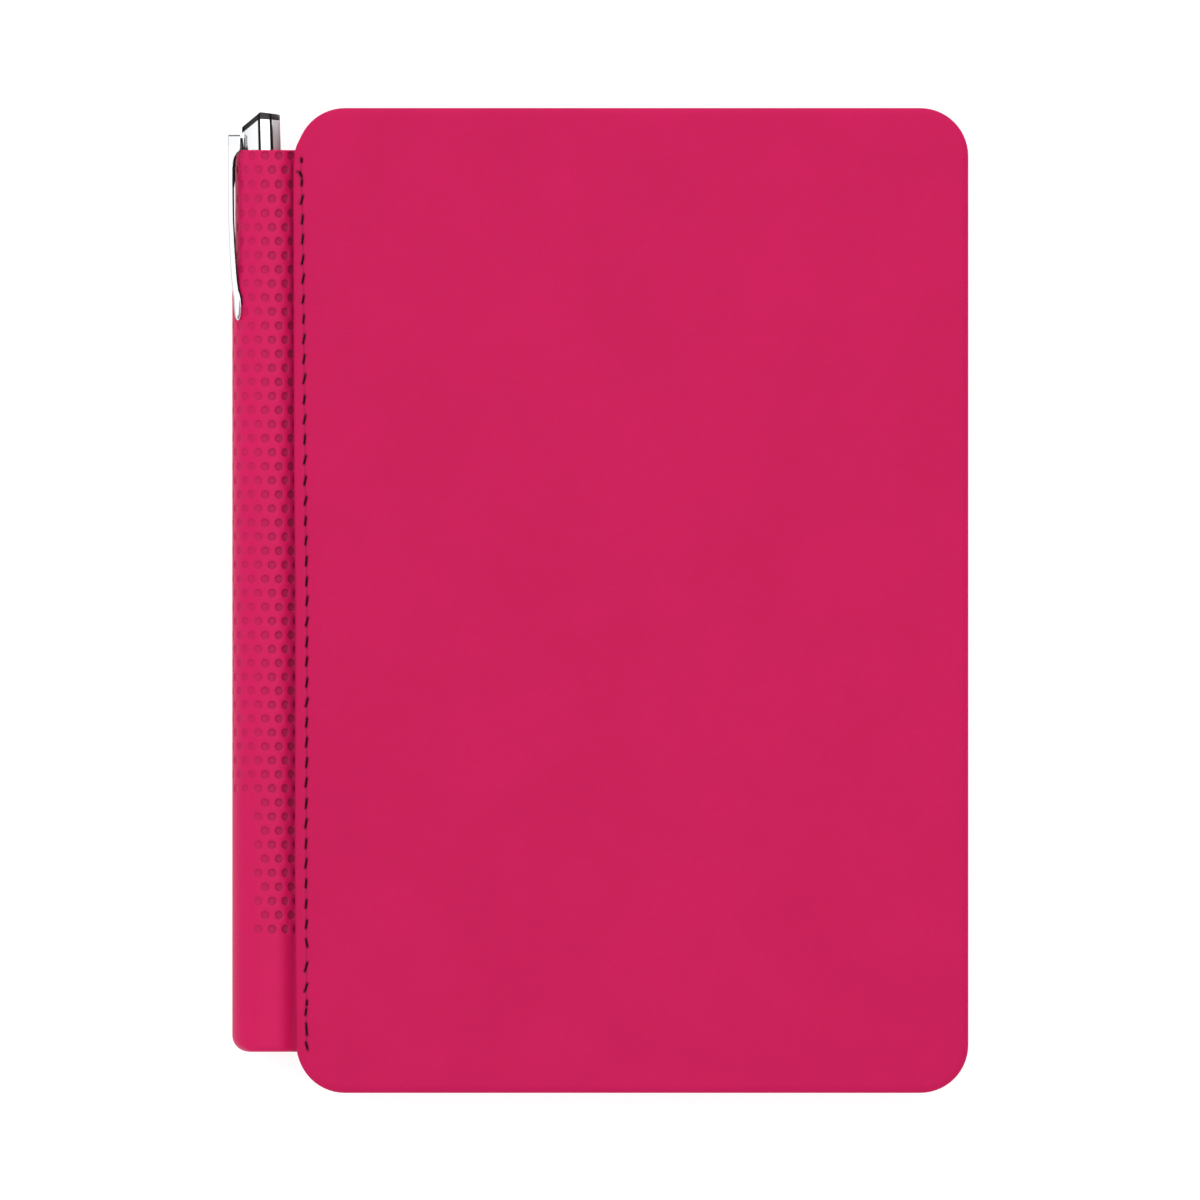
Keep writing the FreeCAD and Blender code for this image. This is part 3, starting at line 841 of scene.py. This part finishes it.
def end_pull(yy):
    """How far the surface draws in near the two ends: across (x) and through (z)."""
    dx = np.zeros_like(yy)
    dz = np.zeros_like(yy)
    q = np.clip((FOOT + 3.5 - yy) / 3.5, 0, 1)
    dx += 3.5 * (1 - np.sqrt(np.clip(1 - q * q, 0, 1)))
    q = np.clip((FOOT + 1.1 - yy) / 1.1, 0, 1)
    dz += 1.1 * (1 - np.sqrt(np.clip(1 - q * q, 0, 1)))
    # the sleeve is drawn in under the clip, and its corner is rounded at the mouth
    q = np.clip((yy - 66.0) / 10.5, 0, 1)
    dx += 0.62 * q * q * (3 - 2 * q)
    q = np.clip((yy - (MOUTH - 2.2)) / 2.2, 0, 1)
    dx += 1.0 * (1 - np.sqrt(np.clip(1 - q * q * 0.98, 0, 1)))
    q = np.clip((yy - (MOUTH - 0.26)) / 0.26, 0, 1)
    dz += 0.26 * (1 - np.sqrt(np.clip(1 - q * q, 0, 1)))
    return dx, dz


def place_outer(s, yy, depth):
    p, n = on_section(s)
    dx, dz = end_pull(yy)
    wx = np.clip(-n[:, 0], 0, 1)
    near = 1 - np.clip((p[:, 0] + 85.0) / 4.5, 0, 1)
    wx = wx * (0.45 + 0.55 * near * near * (3 - 2 * near))
    x = p[:, 0] + dx * wx - n[:, 0] * depth
    z = p[:, 1] - dz * n[:, 1] - n[:, 1] * depth
    return np.stack([x, yy, z], axis=1)


def build_sleeve():
    V2, D2, F2 = sleeve_field()
    side = np.clip((V2[:, 0] + 2.5) / 6.0, 0, 1)
    P3 = place_outer(V2[:, 0], V2[:, 1], D2 * DEPTH * (1.0 - 0.45 * side))
    bm = bmesh.new()
    lay = bm.verts.layers.float.new("dimple")
    lay2 = bm.verts.layers.float.new("dimple_shade_weight")
    lay3 = bm.verts.layers.float.new("fold_shade")
    vs = []
    # the dimples nearest the hinge are the deepest and carry the strongest painted shade
    for p, d, q in zip(P3, D2, side):
        v = bm.verts.new(Vector(p) * MM)
        v[lay] = float(d)
        v[lay2] = float(0.95 - 0.62 * q)
        # painted shade weight for the crease beside the cover, fading out 1.5 mm from it and stronger towards the mouth
        k = min(max((-72.5 - p[0]) / 1.5, 0.0), 1.0)
        v[lay3] = (1.0 - k * k * (3 - 2 * k)) * (0.55 + 0.45 * min(max((p[1] + 80.0) / 40.0, 0.0), 1.0))
        vs.append(v)
    for f in F2:
        try:
            bm.faces.new([vs[i] for i in f])
        except ValueError:
            pass
    # the two long edges of the field, by height
    ytop = float(V2[:, 1].max())
    right = sorted([(V2[i, 1], i) for i in range(len(V2)) if abs(V2[i, 0] - S0) < 1e-3])
    left = sorted([(V2[i, 1], i) for i in range(len(V2)) if abs(V2[i, 0] - S1) < 1e-3])
    assert len(right) == len(left), (len(right), len(left))
    ps, _ = on_section(np.array([S0, S1]))
    inner = [(-70.4, 12.40), (-69.5, 12.46), (-68.05, 12.46), (-67.88, 12.42), (-67.80, 12.28), (-67.80, 11.70), (-67.88, 11.55), (-68.05, 11.5),
             (-70.3, 11.5), (-71.0, 11.40), (-71.6, 11.33), (-72.2, 11.33), (-72.6, 11.20), (-72.78, 10.8), (-72.80, 9.5), (-72.80, 5.2), (-72.78, 4.0),
             (-72.62, 3.55), (-72.35, 3.25)]
    cols = []
    for (yr, ir), (yl, il) in zip(right, left):
        ye = yr
        _, dz = end_pull(np.array([ye]))
        row = [vs[ir]]
        for (x, z) in inner:
            row.append(bm.verts.new(Vector((x, ye, z)) * MM))
        row.append(vs[il])
        cols.append(row)
    for a, b in zip(cols[:-1], cols[1:]):
        for i in range(len(a) - 1):
            bm.faces.new([a[i], a[i + 1], b[i + 1], b[i]])
    bm.verts.ensure_lookup_table()
    # foot: closed cap over the whole section
    foot_outer = sorted([(V2[i, 0], i) for i in range(len(V2)) if abs(V2[i, 1] - FOOT) < 1e-3])
    loop = [vs[i] for _, i in foot_outer] + [v for v in cols[0][1:-1]][::-1]
    bm.faces.new(loop)
    # mouth: a rounded lip, then the end face, then the bore
    top_outer = sorted([(V2[i, 0], i) for i in range(len(V2)) if abs(V2[i, 1] - ytop) < 1e-3])
    ring = [vs[i] for _, i in top_outer] + [v for v in cols[-1][1:-1]][::-1]
    base = np.array([[v.co.x / MM, v.co.z / MM] for v in ring])
    cen = base.mean(axis=0)
    # outward normals of the closed outline
    nx = np.roll(base, -1, axis=0) - np.roll(base, 1, axis=0)
    nr = np.stack([nx[:, 1], -nx[:, 0]], axis=1)
    nr /= np.linalg.norm(nr, axis=1)[:, None]
    area = 0.5 * np.sum(base[:, 0] * np.roll(base[:, 1], -1) - np.roll(base[:, 0], -1) * base[:, 1])
    if area < 0:
        nr = -nr
    prev = ring
    h = MOUTH - ytop
    for k in range(1, 5):
        a = math.pi / 2 * k / 4
        off = 0.24 * (1 - math.cos(a))
        yy = ytop + h * math.sin(a)
        cur = [bm.verts.new(Vector((b[0] - q[0] * off, yy, b[1] - q[1] * off)) * MM) for b, q in zip(base, nr)]
        for i in range(len(ring)):
            j = (i + 1) % len(ring)
            bm.faces.new([prev[i], prev[j], cur[j], cur[i]])
        prev = cur
    NB = 96
    rb = 5.15
    def circle(r, yy):
        return [bm.verts.new(Vector((PEN_X + r * math.cos(2 * math.pi * i / NB), yy, PEN_Z + r * math.sin(2 * math.pi * i / NB))) * MM) for i in range(NB)]
    c0 = circle(rb + 0.18, MOUTH)
    edges = []
    for loopv in (prev, c0):
        for i in range(len(loopv)):
            a, b = loopv[i], loopv[(i + 1) % len(loopv)]
            e = bm.edges.get((a, b)) or bm.edges.new((a, b))
            edges.append(e)
    bmesh.ops.triangle_fill(bm, use_beauty=True, use_dissolve=False, edges=edges)
    c1 = circle(rb + 0.05, MOUTH - 0.06)
    c2 = circle(rb, MOUTH - 0.2)
    c3 = circle(rb, 60.0)
    c4 = circle(rb, -93.3)
    c5 = circle(rb - 0.5, -93.8)
    for a, b in ((c0, c1), (c1, c2), (c2, c3), (c3, c4), (c4, c5)):
        for i in range(NB):
            j = (i + 1) % NB
            bm.faces.new([a[i], a[j], b[j], b[i]])
    bm.faces.new(c5)
    bmesh.ops.recalc_face_normals(bm, faces=bm.faces)
    me = bpy.data.meshes.new("spine_moulding")
    bm.to_mesh(me)
    bm.free()
    me.materials.append(M_SOFT)
    me.polygons.foreach_set("use_smooth", [True] * len(me.polygons))
    ob = bpy.data.objects.new("spine_moulding", me)
    bpy.context.scene.collection.objects.link(ob)
    sharp_by_angle(me, 62)
    return ob


spine = build_sleeve()
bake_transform(spine)
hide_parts("pen_sleeve", "front_flange")


def back_web():
    web = [(x, T - z) for x, z in [(-73.35, 12.0), (-72.85, 12.35), (-72.55, 12.26), (-72.22, 12.04), (-71.75, 11.93), (-71.25, 12.02),
                                   (-70.8, 12.25), (-70.3, 12.42), (-69.6, 12.46), (-68.05, 12.46), (-67.88, 12.42), (-67.8, 12.28), (-67.8, 11.70),
                                   (-67.88, 11.55), (-68.05, 11.5), (-70.3, 11.5), (-71.0, 11.40), (-71.6, 11.33), (-72.2, 11.33), (-73.35, 11.2)]]
    ys = [FOOT + 0.1, FOOT + 0.35] + list(np.linspace(FOOT + 2, MOUTH - 2, 90)) + [MOUTH - 0.35, MOUTH - 0.1]
    rings = []
    for i, yy in enumerate(ys):
        k = 0.12 if i in (0, len(ys) - 1) else 0.0
        rings.append([(x, yy, z) for x, z in web])
    v, f = loft(rings)
    ob = new_obj("spine_back_web", v, f, M_SOFT)
    ob.data.attributes.new("dimple", "FLOAT", "POINT")
    fix_normals(ob)
    sharp_by_angle(ob.data, 50)
    return ob


bweb = back_web()
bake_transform(bweb)
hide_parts("back_flange")

# ------------------------------------------------------------------ tray and inner pieces
TRAY_NODES = [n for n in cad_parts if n.startswith("tray_") and n not in ("tray_adhesive", "tray_pad", "tray_magnets")]


def slab(name, x0, x1, y0, y1, r, z0, z1, ease=0.0):
    """Rounded-corner slab, its top edge eased."""
    rings = [rr_ring(0, z0, (x0, x1), (y0, y1), r, 24, 24, 16, 12, 0.5)]
    if ease > 0:
        for k in range(5):
            a = math.pi / 2 * k / 4
            rings.append(rr_ring(ease * (1 - math.cos(a)), z1 - ease + ease * math.sin(a), (x0, x1), (y0, y1), r, 24, 24, 16, 12, 0.5))
    else:
        rings.append(rr_ring(0, z1, (x0, x1), (y0, y1), r, 24, 24, 16, 12, 0.5))
    v, f = loft(rings)
    ob = new_obj(name, v, f, M_TRAY, smooth=False)
    fix_normals(ob)
    return ob


def hole_y(name, x0, x1, z0, z1, y0, y1, r=1.2):
    """Cutter for a slot through a top or bottom wall."""
    c = cutter(name, x0, x1, z0, z1, r, y0, y1)
    for v in c.data.vertices:
        v.co = Vector((v.co.x, v.co.z, v.co.y))
    fix_normals(c)
    return c


def hole_x(name, y0, y1, z0, z1, x0, x1, r=1.2):
    c = cutter(name, y0, y1, z0, z1, r, x0, x1)
    for v in c.data.vertices:
        v.co = Vector((v.co.z, v.co.x, v.co.y))
    fix_normals(c)
    return c


tray = slab("tray_moulding", -67.5, 70.5, -101.6, 101.6, 9.3, 2.5, 12.2, 0.3)
for tool in (slab("t0", -66.2, 69.2, -100.3, 100.3, 8.0, 3.5, 11.2),
             slab("t1", -65.4, 68.4, -99.5, 99.5, 7.2, 3.4, 13.0),
             slab("t2", -58.2, 61.2, -100.3, 100.3, 0.6, 11.1, 13.0),
             slab("t3", -66.2, 69.2, -92.3, 92.3, 0.6, 11.1, 13.0),
             hole_y("t4", -21.5, 24.5, 4.6, 10.0, -103.0, -99.0),
             hole_y("t5", -52.0, -40.0, 4.6, 10.0, 99.0, 103.0),
             hole_y("t6", 30.0, 46.0, 4.6, 10.0, 99.0, 103.0),
             hole_x("t7", 62.0, 78.0, 4.6, 10.0, 68.0, 72.0),
             cutter("t8", 52.0, 64.0, 84.0, 96.0, 3.0, 1.0, 5.0)):
    tray = cut(tray, tool)


def eased_edges(ob, width, angle=50.0, segments=2, dissolve=1.0):
    bm = bmesh.new()
    bm.from_mesh(ob.data)
    bmesh.ops.remove_doubles(bm, verts=bm.verts, dist=2e-6)
    bmesh.ops.dissolve_limit(bm, angle_limit=math.radians(dissolve), verts=bm.verts, edges=bm.edges)
    es = [e for e in bm.edges if len(e.link_faces) == 2 and e.calc_face_angle(0) > math.radians(angle)]
    bmesh.ops.bevel(bm, geom=es, offset=width * MM, segments=segments, profile=0.5, affect="EDGES", clamp_overlap=True)
    bmesh.ops.recalc_face_normals(bm, faces=bm.faces)
    bm.to_mesh(ob.data)
    bm.free()
    ob.data.polygons.foreach_set("use_smooth", [True] * len(ob.data.polygons))
    sharp_by_angle(ob.data, 35)


eased_edges(tray, 0.14)
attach(tray, "back"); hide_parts(*TRAY_NODES)

for node, mat in (("cover_board", M_BOARD), ("back_board", M_BOARD), ("tray_adhesive", M_GLUE), ("tray_pad", M_PAD),
                  ("tray_magnets", M_MAGNET), ("cover_magnets", M_MAGNET), ("cam_guide", M_WHITE), ("return_spring", M_STEEL),
                  ("thrust_tube", M_WHITE), ("rotor", M_WHITE), ("refill_tube", M_REFILL), ("refill_tip", M_BRASS), ("refill_ball", M_STEEL)):
    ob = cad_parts[node]
    if not ob.material_slots:
        ob.data.materials.append(mat)
    for s in ob.material_slots:
        s.material = mat

# ------------------------------------------------------------------ pen
coil = bpy.data.objects.new("pen_return_spring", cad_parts["return_spring"].data.copy())
coil.matrix_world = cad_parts["return_spring"].matrix_world.copy()
bpy.context.scene.collection.objects.link(coil)
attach(coil, "pen")
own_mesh(coil)
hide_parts("return_spring")
barrel_u = lathe("pen_upper_barrel", eased([(3.9, 26.0), (4.8, 26.0), (4.8, 86.0), (3.9, 86.0)], 0.12), M_ALU)
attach(barrel_u, "pen"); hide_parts("upper_barrel")
ring_c = lathe("pen_centre_ring", eased([(3.0, 25.0), (4.83, 25.0), (4.83, 26.0), (3.0, 26.0)], 0.2), M_CHROME)
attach(ring_c, "pen"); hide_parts("centre_ring")
barrel_l = lathe("pen_lower_barrel", eased([(2.9, -12.0), (4.0, -12.0), (4.0, 22.0), (4.8, 22.0), (4.8, 25.0), (2.9, 25.0)], 0.12), M_ALU)
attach(barrel_l, "pen"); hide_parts("lower_barrel")
gp = [(4.0, -12.0), (4.55, -12.0)]
for i in range(8):
    yy = -9.0 + i * 4.0
    gp += [(4.78, yy), (4.8, yy + 0.3), (4.8, yy + 1.3), (4.74, yy + 1.6), (4.58, yy + 1.9), (4.54, yy + 2.2), (4.56, yy + 2.5)]
gp += [(4.8, 22.0), (4.0, 22.0)]
grip = lathe("pen_grip", eased(gp, 0.12), M_GRIP)
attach(grip, "pen"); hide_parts("grip_sleeve")
nose = lathe("pen_nose", eased([(1.35, -38.3), (1.7, -38.3), (2.05, -36.0), (2.6, -32.0), (3.3, -27.0), (3.9, -22.0), (4.45, -17.0), (4.8, -13.0), (4.8, -12.0),
                                (2.9, -12.0), (2.9, -24.0), (1.9, -25.0), (1.7, -31.6), (1.36, -33.1)], 0.12), M_CHROME)
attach(nose, "pen"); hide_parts("nose_cone")

ring_b = cleaned("pen_clip_ring", "clip_ring", M_BLACK, bevel=0.10, angle=40)
for v in ring_b.data.vertices:
    vx, vz = v.co.x / MM - PEN_X, v.co.z / MM - PEN_Z
    c25, s25 = math.cos(math.radians(25)), math.sin(math.radians(25))
    vt = vx * s25 + vz * c25
    if v.co.y / MM > 95.4 and vt > 0.45:
        v.co.x -= 1.0 * s25 * MM
        v.co.z -= 1.0 * c25 * MM
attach(ring_b, "pen"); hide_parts("clip_ring")
BUTTON_A = [14.7, 56.7, 93.6, 146.8, 186.0, 236.7, 272.0, 326.8]
BUTTON_EASE = [0.22, 0.42, 0.46, 0.16, 0.4, 0.4, 0.4, 0.4]
BUTTON_FULL = [0.22, 0.04, 0.06, 0.03, 0.06, 0.06, 0.06, 0.2]    # how full the facet after each corner is


def button_outline(r=4.33, inset=0.0):
    """Faceted outline with softly rounded corners and slightly full facets."""
    C = [np.array([r * math.cos(math.radians(a)), r * math.sin(math.radians(a))]) for a in BUTTON_A]
    C[4] = C[4] * 0.96
    pts = []
    n = len(C)
    for i in range(n):
        p0, p1, p2 = C[i - 1], C[i], C[(i + 1) % n]
        u, v = (p0 - p1) / np.linalg.norm(p0 - p1), (p2 - p1) / np.linalg.norm(p2 - p1)
        a, b = p1 + u * BUTTON_EASE[i], p1 + v * BUTTON_EASE[i]
        for k in range(7):
            t = k / 6
            pts.append((1 - t) ** 2 * a + 2 * t * (1 - t) * p1 + t * t * b)
        q = C[(i + 1) % n] - v * BUTTON_EASE[(i + 1) % n]
        nrm = np.array([v[1], -v[0]])
        for k in range(1, 12):
            t = k / 12
            pts.append(b + (q - b) * t + nrm * BUTTON_FULL[i] * 4 * t * (1 - t))
    if inset:
        P = np.array(pts)
        d = np.roll(P, -1, axis=0) - np.roll(P, 1, axis=0)
        nn = np.stack([d[:, 1], -d[:, 0]], axis=1)
        nn /= np.linalg.norm(nn, axis=1)[:, None]
        pts = list(P - nn * inset)
    return pts


def flared(x, y):
    """The facets lean a little towards the top."""
    return PEN_X + x - 0.22 * min(max((x + 3.6) / 3.6, 0.0), 1.0) * (y - 95.5) / 8.0


def slanted(points, x):
    (x0, y0), (x1, y1), (x2, y2) = points
    if x < x1:
        return y0 + (y1 - y0) * (x - x0) / (x1 - x0)
    return y1 + (y2 - y1) * (x - x1) / (x2 - x1)


TOP_LINE = [(-4.0, 100.6), (0.0, 103.66), (4.1, 103.2)]
CAP_LINE = [(-3.72, 99.5), (-0.2, 102.2), (4.0, 101.97)]


def button_part(name, mat, low, high, round_top):
    rings = []
    base = button_outline()
    rings.append([(flared(q[0], low(q[0])), low(q[0]), PEN_Z + q[1]) for q in base])
    if round_top:
        rings.append([(flared(q[0], high(q[0]) - 0.28), high(q[0]) - 0.28, PEN_Z + q[1]) for q in base])
        for k in range(1, 5):
            a = math.pi / 2 * k / 4
            ins = 0.28 * (1 - math.cos(a))
            o = button_outline(inset=ins)
            rings.append([(flared(q[0], high(q[0])), high(q[0]) - 0.28 + 0.28 * math.sin(a), PEN_Z + q[1]) for q in o])
    else:
        rings.append([(flared(q[0], high(q[0])), high(q[0]), PEN_Z + q[1]) for q in base])
    v, f = loft(rings)
    ob = new_obj(name, v, f, mat)
    ob.data.materials.append(M_SATIN if mat is M_CHROME3 else M_MATT)
    ob.data.materials.append(M_PAINTED_SHADE_BLACK)
    n = len(rings[0])
    for i, poly in enumerate(ob.data.polygons):
        if i < (len(rings) - 1) * n:
            k = i % n
            if (mat is M_CHROME3 and (6 <= k <= 17)) or (mat is not M_CHROME3 and 18 * 3 + 3 <= k <= 18 * 5):
                poly.material_index = 1
            if k in (20, 21, 22, 23) or k in (37, 38, 39, 40):     # painted dark reflections: black plastic on the corners between the front facets
                poly.material_index = 2
    fix_normals(ob)
    sharp_by_angle(ob.data, 50)
    return ob


button = button_part("pen_button", M_CHROME3, lambda x: 94.92, lambda x: slanted(CAP_LINE, x), False)
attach(button, "plunger"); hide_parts("push_button")
cap = button_part("pen_button_cap", M_CAP, lambda x: slanted(CAP_LINE, x) + 0.01, lambda x: slanted(TOP_LINE, x), True)
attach(cap, "plunger"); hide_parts("button_cap")


def corner_arc(p0, p1, p2, q, steps=3):
    """A small round between two faces meeting at p1."""
    p0, p1, p2 = (np.array(v, float) for v in (p0, p1, p2))
    a, b = p0 - p1, p2 - p1
    la, lb = np.linalg.norm(a), np.linalg.norm(b)
    q = min(q, 0.4 * la, 0.4 * lb)
    s0, e0 = p1 + a / max(la, 1e-9) * q, p1 + b / max(lb, 1e-9) * q
    return [tuple((1 - t) ** 2 * s0 + 2 * t * (1 - t) * p1 + t * t * e0) for t in (k / steps for k in range(steps + 1))]


def spring_clip():
    """Sprung strip with lightly rounded edges, bent in to its tip; its root widens into a slanted block."""
    st = [  # y, inner radius, thickness, width, angle
        (99.4, 6.50, 0.82, 2.3, 25.0), (93.0, 6.50, 0.82, 2.25, 25.0),
        (89.3, 6.50, 0.82, 2.2, 25.0), (87.5, 6.84, 0.47, 2.18, 25.2), (80.5, 6.86, 0.42, 2.12, 26.4), (78.0, 6.72, 0.52, 2.06, 27.8),
        (74.0, 6.68, 0.52, 2.0, 30.4), (70.0, 6.64, 0.50, 1.94, 33.4), (67.5, 6.62, 0.48, 1.88, 36.0), (66.0, 6.60, 0.46, 1.86, 38.2),
        (65.0, 6.62, 0.42, 2.0, 41.0), (64.0, 6.64, 0.38, 2.14, 42.8), (62.5, 6.64, 0.36, 2.14, 43.8), (61.2, 6.64, 0.34, 1.96, 44.1),
        (60.3, 6.65, 0.32, 1.55, 44.3), (59.75, 6.66, 0.28, 1.0, 44.4), (59.5, 6.68, 0.20, 0.45, 44.5)]
    st = np.array(st[::-1])
    sl = (0.930, 0.365)                  # across the slanted face, (x, z)
    # where the slanted face ends at the inner side, and where the dark edge ends, by height
    WY = [91.9, 92.9, 93.55, 93.98, 94.43, 94.85, 95.27, 95.70, 95.92, 96.6]
    WX = [-6.10, -6.06, -5.96, -5.83, -5.63, -5.33, -4.92, -4.62, -4.53, -4.50]
    IX = [-5.40, -5.40, -5.36, -5.30, -5.22, -5.05, -4.72, -4.52, -4.44, -4.40]
    ys = [99.25, 99.05, 98.84, 98.54, 98.2, 97.6, 97.1, 96.8, 96.6, 96.3, 96.1, 95.92, 95.8, 95.7, 95.55, 95.4, 95.27, 95.1, 94.95, 94.85, 94.7, 94.55, 94.43, 94.2,
          93.98, 93.75, 93.55, 93.2, 92.9, 92.4, 91.9, 91.2, 90.4, 89.6, 89.3, 88.7, 88.1, 87.5] + list(np.linspace(87.0, 66.4, 38)) + \
         [66.0, 65.5, 65.0, 64.5, 64.0, 63.2, 62.5, 61.8, 61.2, 60.7, 60.3, 60.0, 59.75, 59.6, 59.5]
    rings = []
    for y in ys:
        r0, th, w, deg = (np.interp(y, st[:, 0], st[:, k]) for k in (1, 2, 3, 4))
        c, s = math.cos(math.radians(deg)), math.sin(math.radians(deg))
        r1 = r0 + th

        def at(r, t):
            return (-r * c + t * s, r * s + t * c)
        o1, b = at(r1, -w / 2), at(r0, -w / 2)
        lip = at(r1, -w / 2 + min(0.50, w * 0.22))
        mid = at(r1 + 0.05, 0.0)
        if y > 91.9:
            t2 = float(np.interp(y, [92.6, 96.9], [1.0, -0.62]))
            o2 = at(r1, t2)
            wx = float(np.interp(y, WY, WX))
            lam = max((wx - o2[0]) / sl[0], 0.10)
            wp = (o2[0] + sl[0] * lam, o2[1] + sl[1] * lam)
            ix = float(np.interp(y, WY, IX))
            ip = (ix, wp[1] - (ix - wp[0]) * 0.466)
            if y > 95.0:
                k = min((y - 95.0) / 0.9, 1.0)
                low = at(5.5, 1.0)
                ip2 = (ip[0], ip[1])
                bi = at(r0 + (5.53 - r0) * k, -w / 2)
                inn = (ip2[0] - 0.02, low[1] * k + (ip2[1] - 0.4) * (1 - k))
                b = bi
            else:
                inn = (ip[0] - 0.10, ip[1] - 0.45)
            mid = at(r1, (t2 - w / 2) / 2)
        else:
            t2 = w / 2 - 0.22
            o2 = at(r1 + 0.008, t2)
            wp = at(r1, w / 2)
            ip = at(r0, w / 2)
            inn = at(r0, w / 2 - 0.45)
            lean = float(np.interp(y, [61.8, 63.6, 80.0, 84.0], [0.0, 1.0, 1.0, 0.0]))
            ip = (ip[0] * (1 - lean) + (wp[0] + 0.40) * lean, ip[1] * (1 - lean) + (wp[1] - 0.20) * lean)
        q = min(0.055, th * 0.25)
        d = float(np.interp(y, [98.54, 98.84, 99.05, 99.25], [0.0, 0.25, 0.62, 1.20]))
        ring = corner_arc(b, o1, lip, q * 1.5, 2) + [lip, mid, o2]
        ring += corner_arc(o2, wp, ip, q, 2) + corner_arc(wp, ip, inn, q * 0.7, 2) + [inn]
        ring += corner_arc(inn, b, o1, q, 2)
        if d > 0:
            R0 = np.array(ring)
            lo, hi = R0[:, 1].min(), R0[:, 1].max()
            R0[:, 1] -= d * (R0[:, 1] - lo) / (hi - lo)
            R0[:, 0] = -5.75 + (R0[:, 0] + 5.75) * (1 - 0.20 * d)
            ring = [tuple(p) for p in R0]
        rings.append([(PEN_X + x, y, PEN_Z + z) for x, z in ring])
    v, f = loft(rings)
    strip = new_obj("pen_spring_clip", v, f, M_CHROME2)
    for extra in (M_PAINTED_REFLECTION_GREY, M_PAINTED_SHADE_BLACK, M_PAINTED_REFLECTION_DARK):
        strip.data.materials.append(extra)
    n = len(rings[0])
    # painted reflections and shade: grey metal on the outer corner, black plastic along the inner edge beside the
    # sleeve, dark metal across the top end
    for i, poly in enumerate(strip.data.polygons):
        k, row = i % n, i // n
        if row >= len(rings) - 1:
            continue
        y = ys[row + 1]
        if k in (0, 1, 2):
            poly.material_index = 1
        elif k in (8, 9, 10, 11) and 62.3 < y < 98.6:
            poly.material_index = 2
        elif row == 2 and k in (3, 4, 5, 6, 7):
            poly.material_index = 3
    fix_normals(strip)
    sharp_by_angle(strip.data, 9)
    return strip


clip = spring_clip()
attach(clip, "clip"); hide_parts("pen_clip")

# ------------------------------------------------------------------ floor, light, camera
floor_me = bpy.data.meshes.new("floor")
fs = 20.0
floor_me.from_pydata([(-fs, -fs, -0.0002), (fs, -fs, -0.0002), (fs, fs, -0.0002), (-fs, fs, -0.0002)], [], [(0, 1, 2, 3)])
floor = bpy.data.objects.new("floor", floor_me)
bpy.context.scene.collection.objects.link(floor)
fm = Mat("studio_floor")
fm.set(Roughness=0.9, Specular_IOR_Level=0.0)
fn = fm.noise(3.0, 2.0)
fc = fm.mix((fn, 0), (0.36, 0.36, 0.36, 1), (0.37, 0.37, 0.37, 1))
fm.link(fc, 2, fm.b, "Base Color")
fm.b.inputs["Emission Color"].default_value = (1, 1, 1, 1)
fm.b.inputs["Emission Strength"].default_value = 0.80
floor_me.materials.append(fm.m)

w = bpy.data.worlds.new("studio")
w.use_nodes = True
wt = w.node_tree
bg = wt.nodes["Background"]
wc = wt.nodes.new("ShaderNodeTexCoord")
wx = wt.nodes.new("ShaderNodeSeparateXYZ")
wt.links.new(wc.outputs["Generated"], wx.inputs[0])


def sky(stops):
    """Brightness of the light tent by height, from the horizon to straight overhead."""
    r = wt.nodes.new("ShaderNodeValToRGB")
    wt.links.new(wx.outputs[2], r.inputs[0])
    e = r.color_ramp.elements
    e[0].position, e[0].color = stops[0][0], (stops[0][1],) * 3 + (1,)
    e[1].position, e[1].color = stops[-1][0], (stops[-1][1],) * 3 + (1,)
    for pos, v in stops[1:-1]:
        k = e.new(pos)
        k.color = (v, v, v, 1)
    return r


sky_left = sky([(0.0, 0.30), (0.20, 0.28), (0.34, 1.05), (0.55, 1.15), (0.76, 1.1), (0.87, 0.35), (0.95, 0.06), (1.0, 0.04)])
sky_right = sky([(0.0, 1.15), (0.27, 1.15), (0.40, 0.06), (0.72, 0.03), (0.78, 1.9), (0.92, 1.9), (0.965, 0.10), (1.0, 0.04)])
wside = wt.nodes.new("ShaderNodeMapRange")
for i, v in zip((1, 2, 3, 4), (-0.05, 0.12, 0.0, 1.0)):
    wside.inputs[i].default_value = v
wt.links.new(wx.outputs[0], wside.inputs[0])
wmix = wt.nodes.new("ShaderNodeMix")
wmix.data_type = "RGBA"
wt.links.new(wside.outputs[0], wmix.inputs[0])
ci = [k for k, q in enumerate(wmix.inputs) if q.type == "RGBA"]
wt.links.new(sky_left.outputs[0], wmix.inputs[ci[0]])
wt.links.new(sky_right.outputs[0], wmix.inputs[ci[1]])
wt.links.new(wmix.outputs[[k for k, q in enumerate(wmix.outputs) if q.type == "RGBA"][0]], bg.inputs[0])
bg.inputs[1].default_value = 1.0
bpy.context.scene.world = w


def area(name, loc, size, sy, power, target=(0, 0, 0.01)):
    d = bpy.data.lights.new(name, "AREA")
    d.shape = "RECTANGLE"
    d.size, d.size_y = size, sy
    d.energy = power
    o = bpy.data.objects.new(name, d)
    o.location = loc
    o.rotation_euler = (Vector(target) - Vector(loc)).to_track_quat("-Z", "Y").to_euler()
    bpy.context.scene.collection.objects.link(o)
    return o


area("left_softbox", (-0.12, 0.12, 1.10), 0.8, 0.7, 2.6)
area("top_softbox", (0.10, 0.95, 0.75), 0.9, 0.4, 2.5)

cd = bpy.data.cameras.new("camera")
cam = bpy.data.objects.new("camera", cd)
bpy.context.scene.collection.objects.link(cam)
cd.sensor_width = 36.0
cd.lens = 1000.0
FRAME_W = 254.6 * MM
dist = cd.lens / 36.0 * FRAME_W
cam.location = (-6.9 * MM, 0.1 * MM, T * MM + dist)
cam.rotation_euler = (0, 0, 0)
cd.clip_start, cd.clip_end = 0.01, 20
bpy.context.scene.camera = cam
bpy.context.scene.view_settings.view_transform = "Standard"
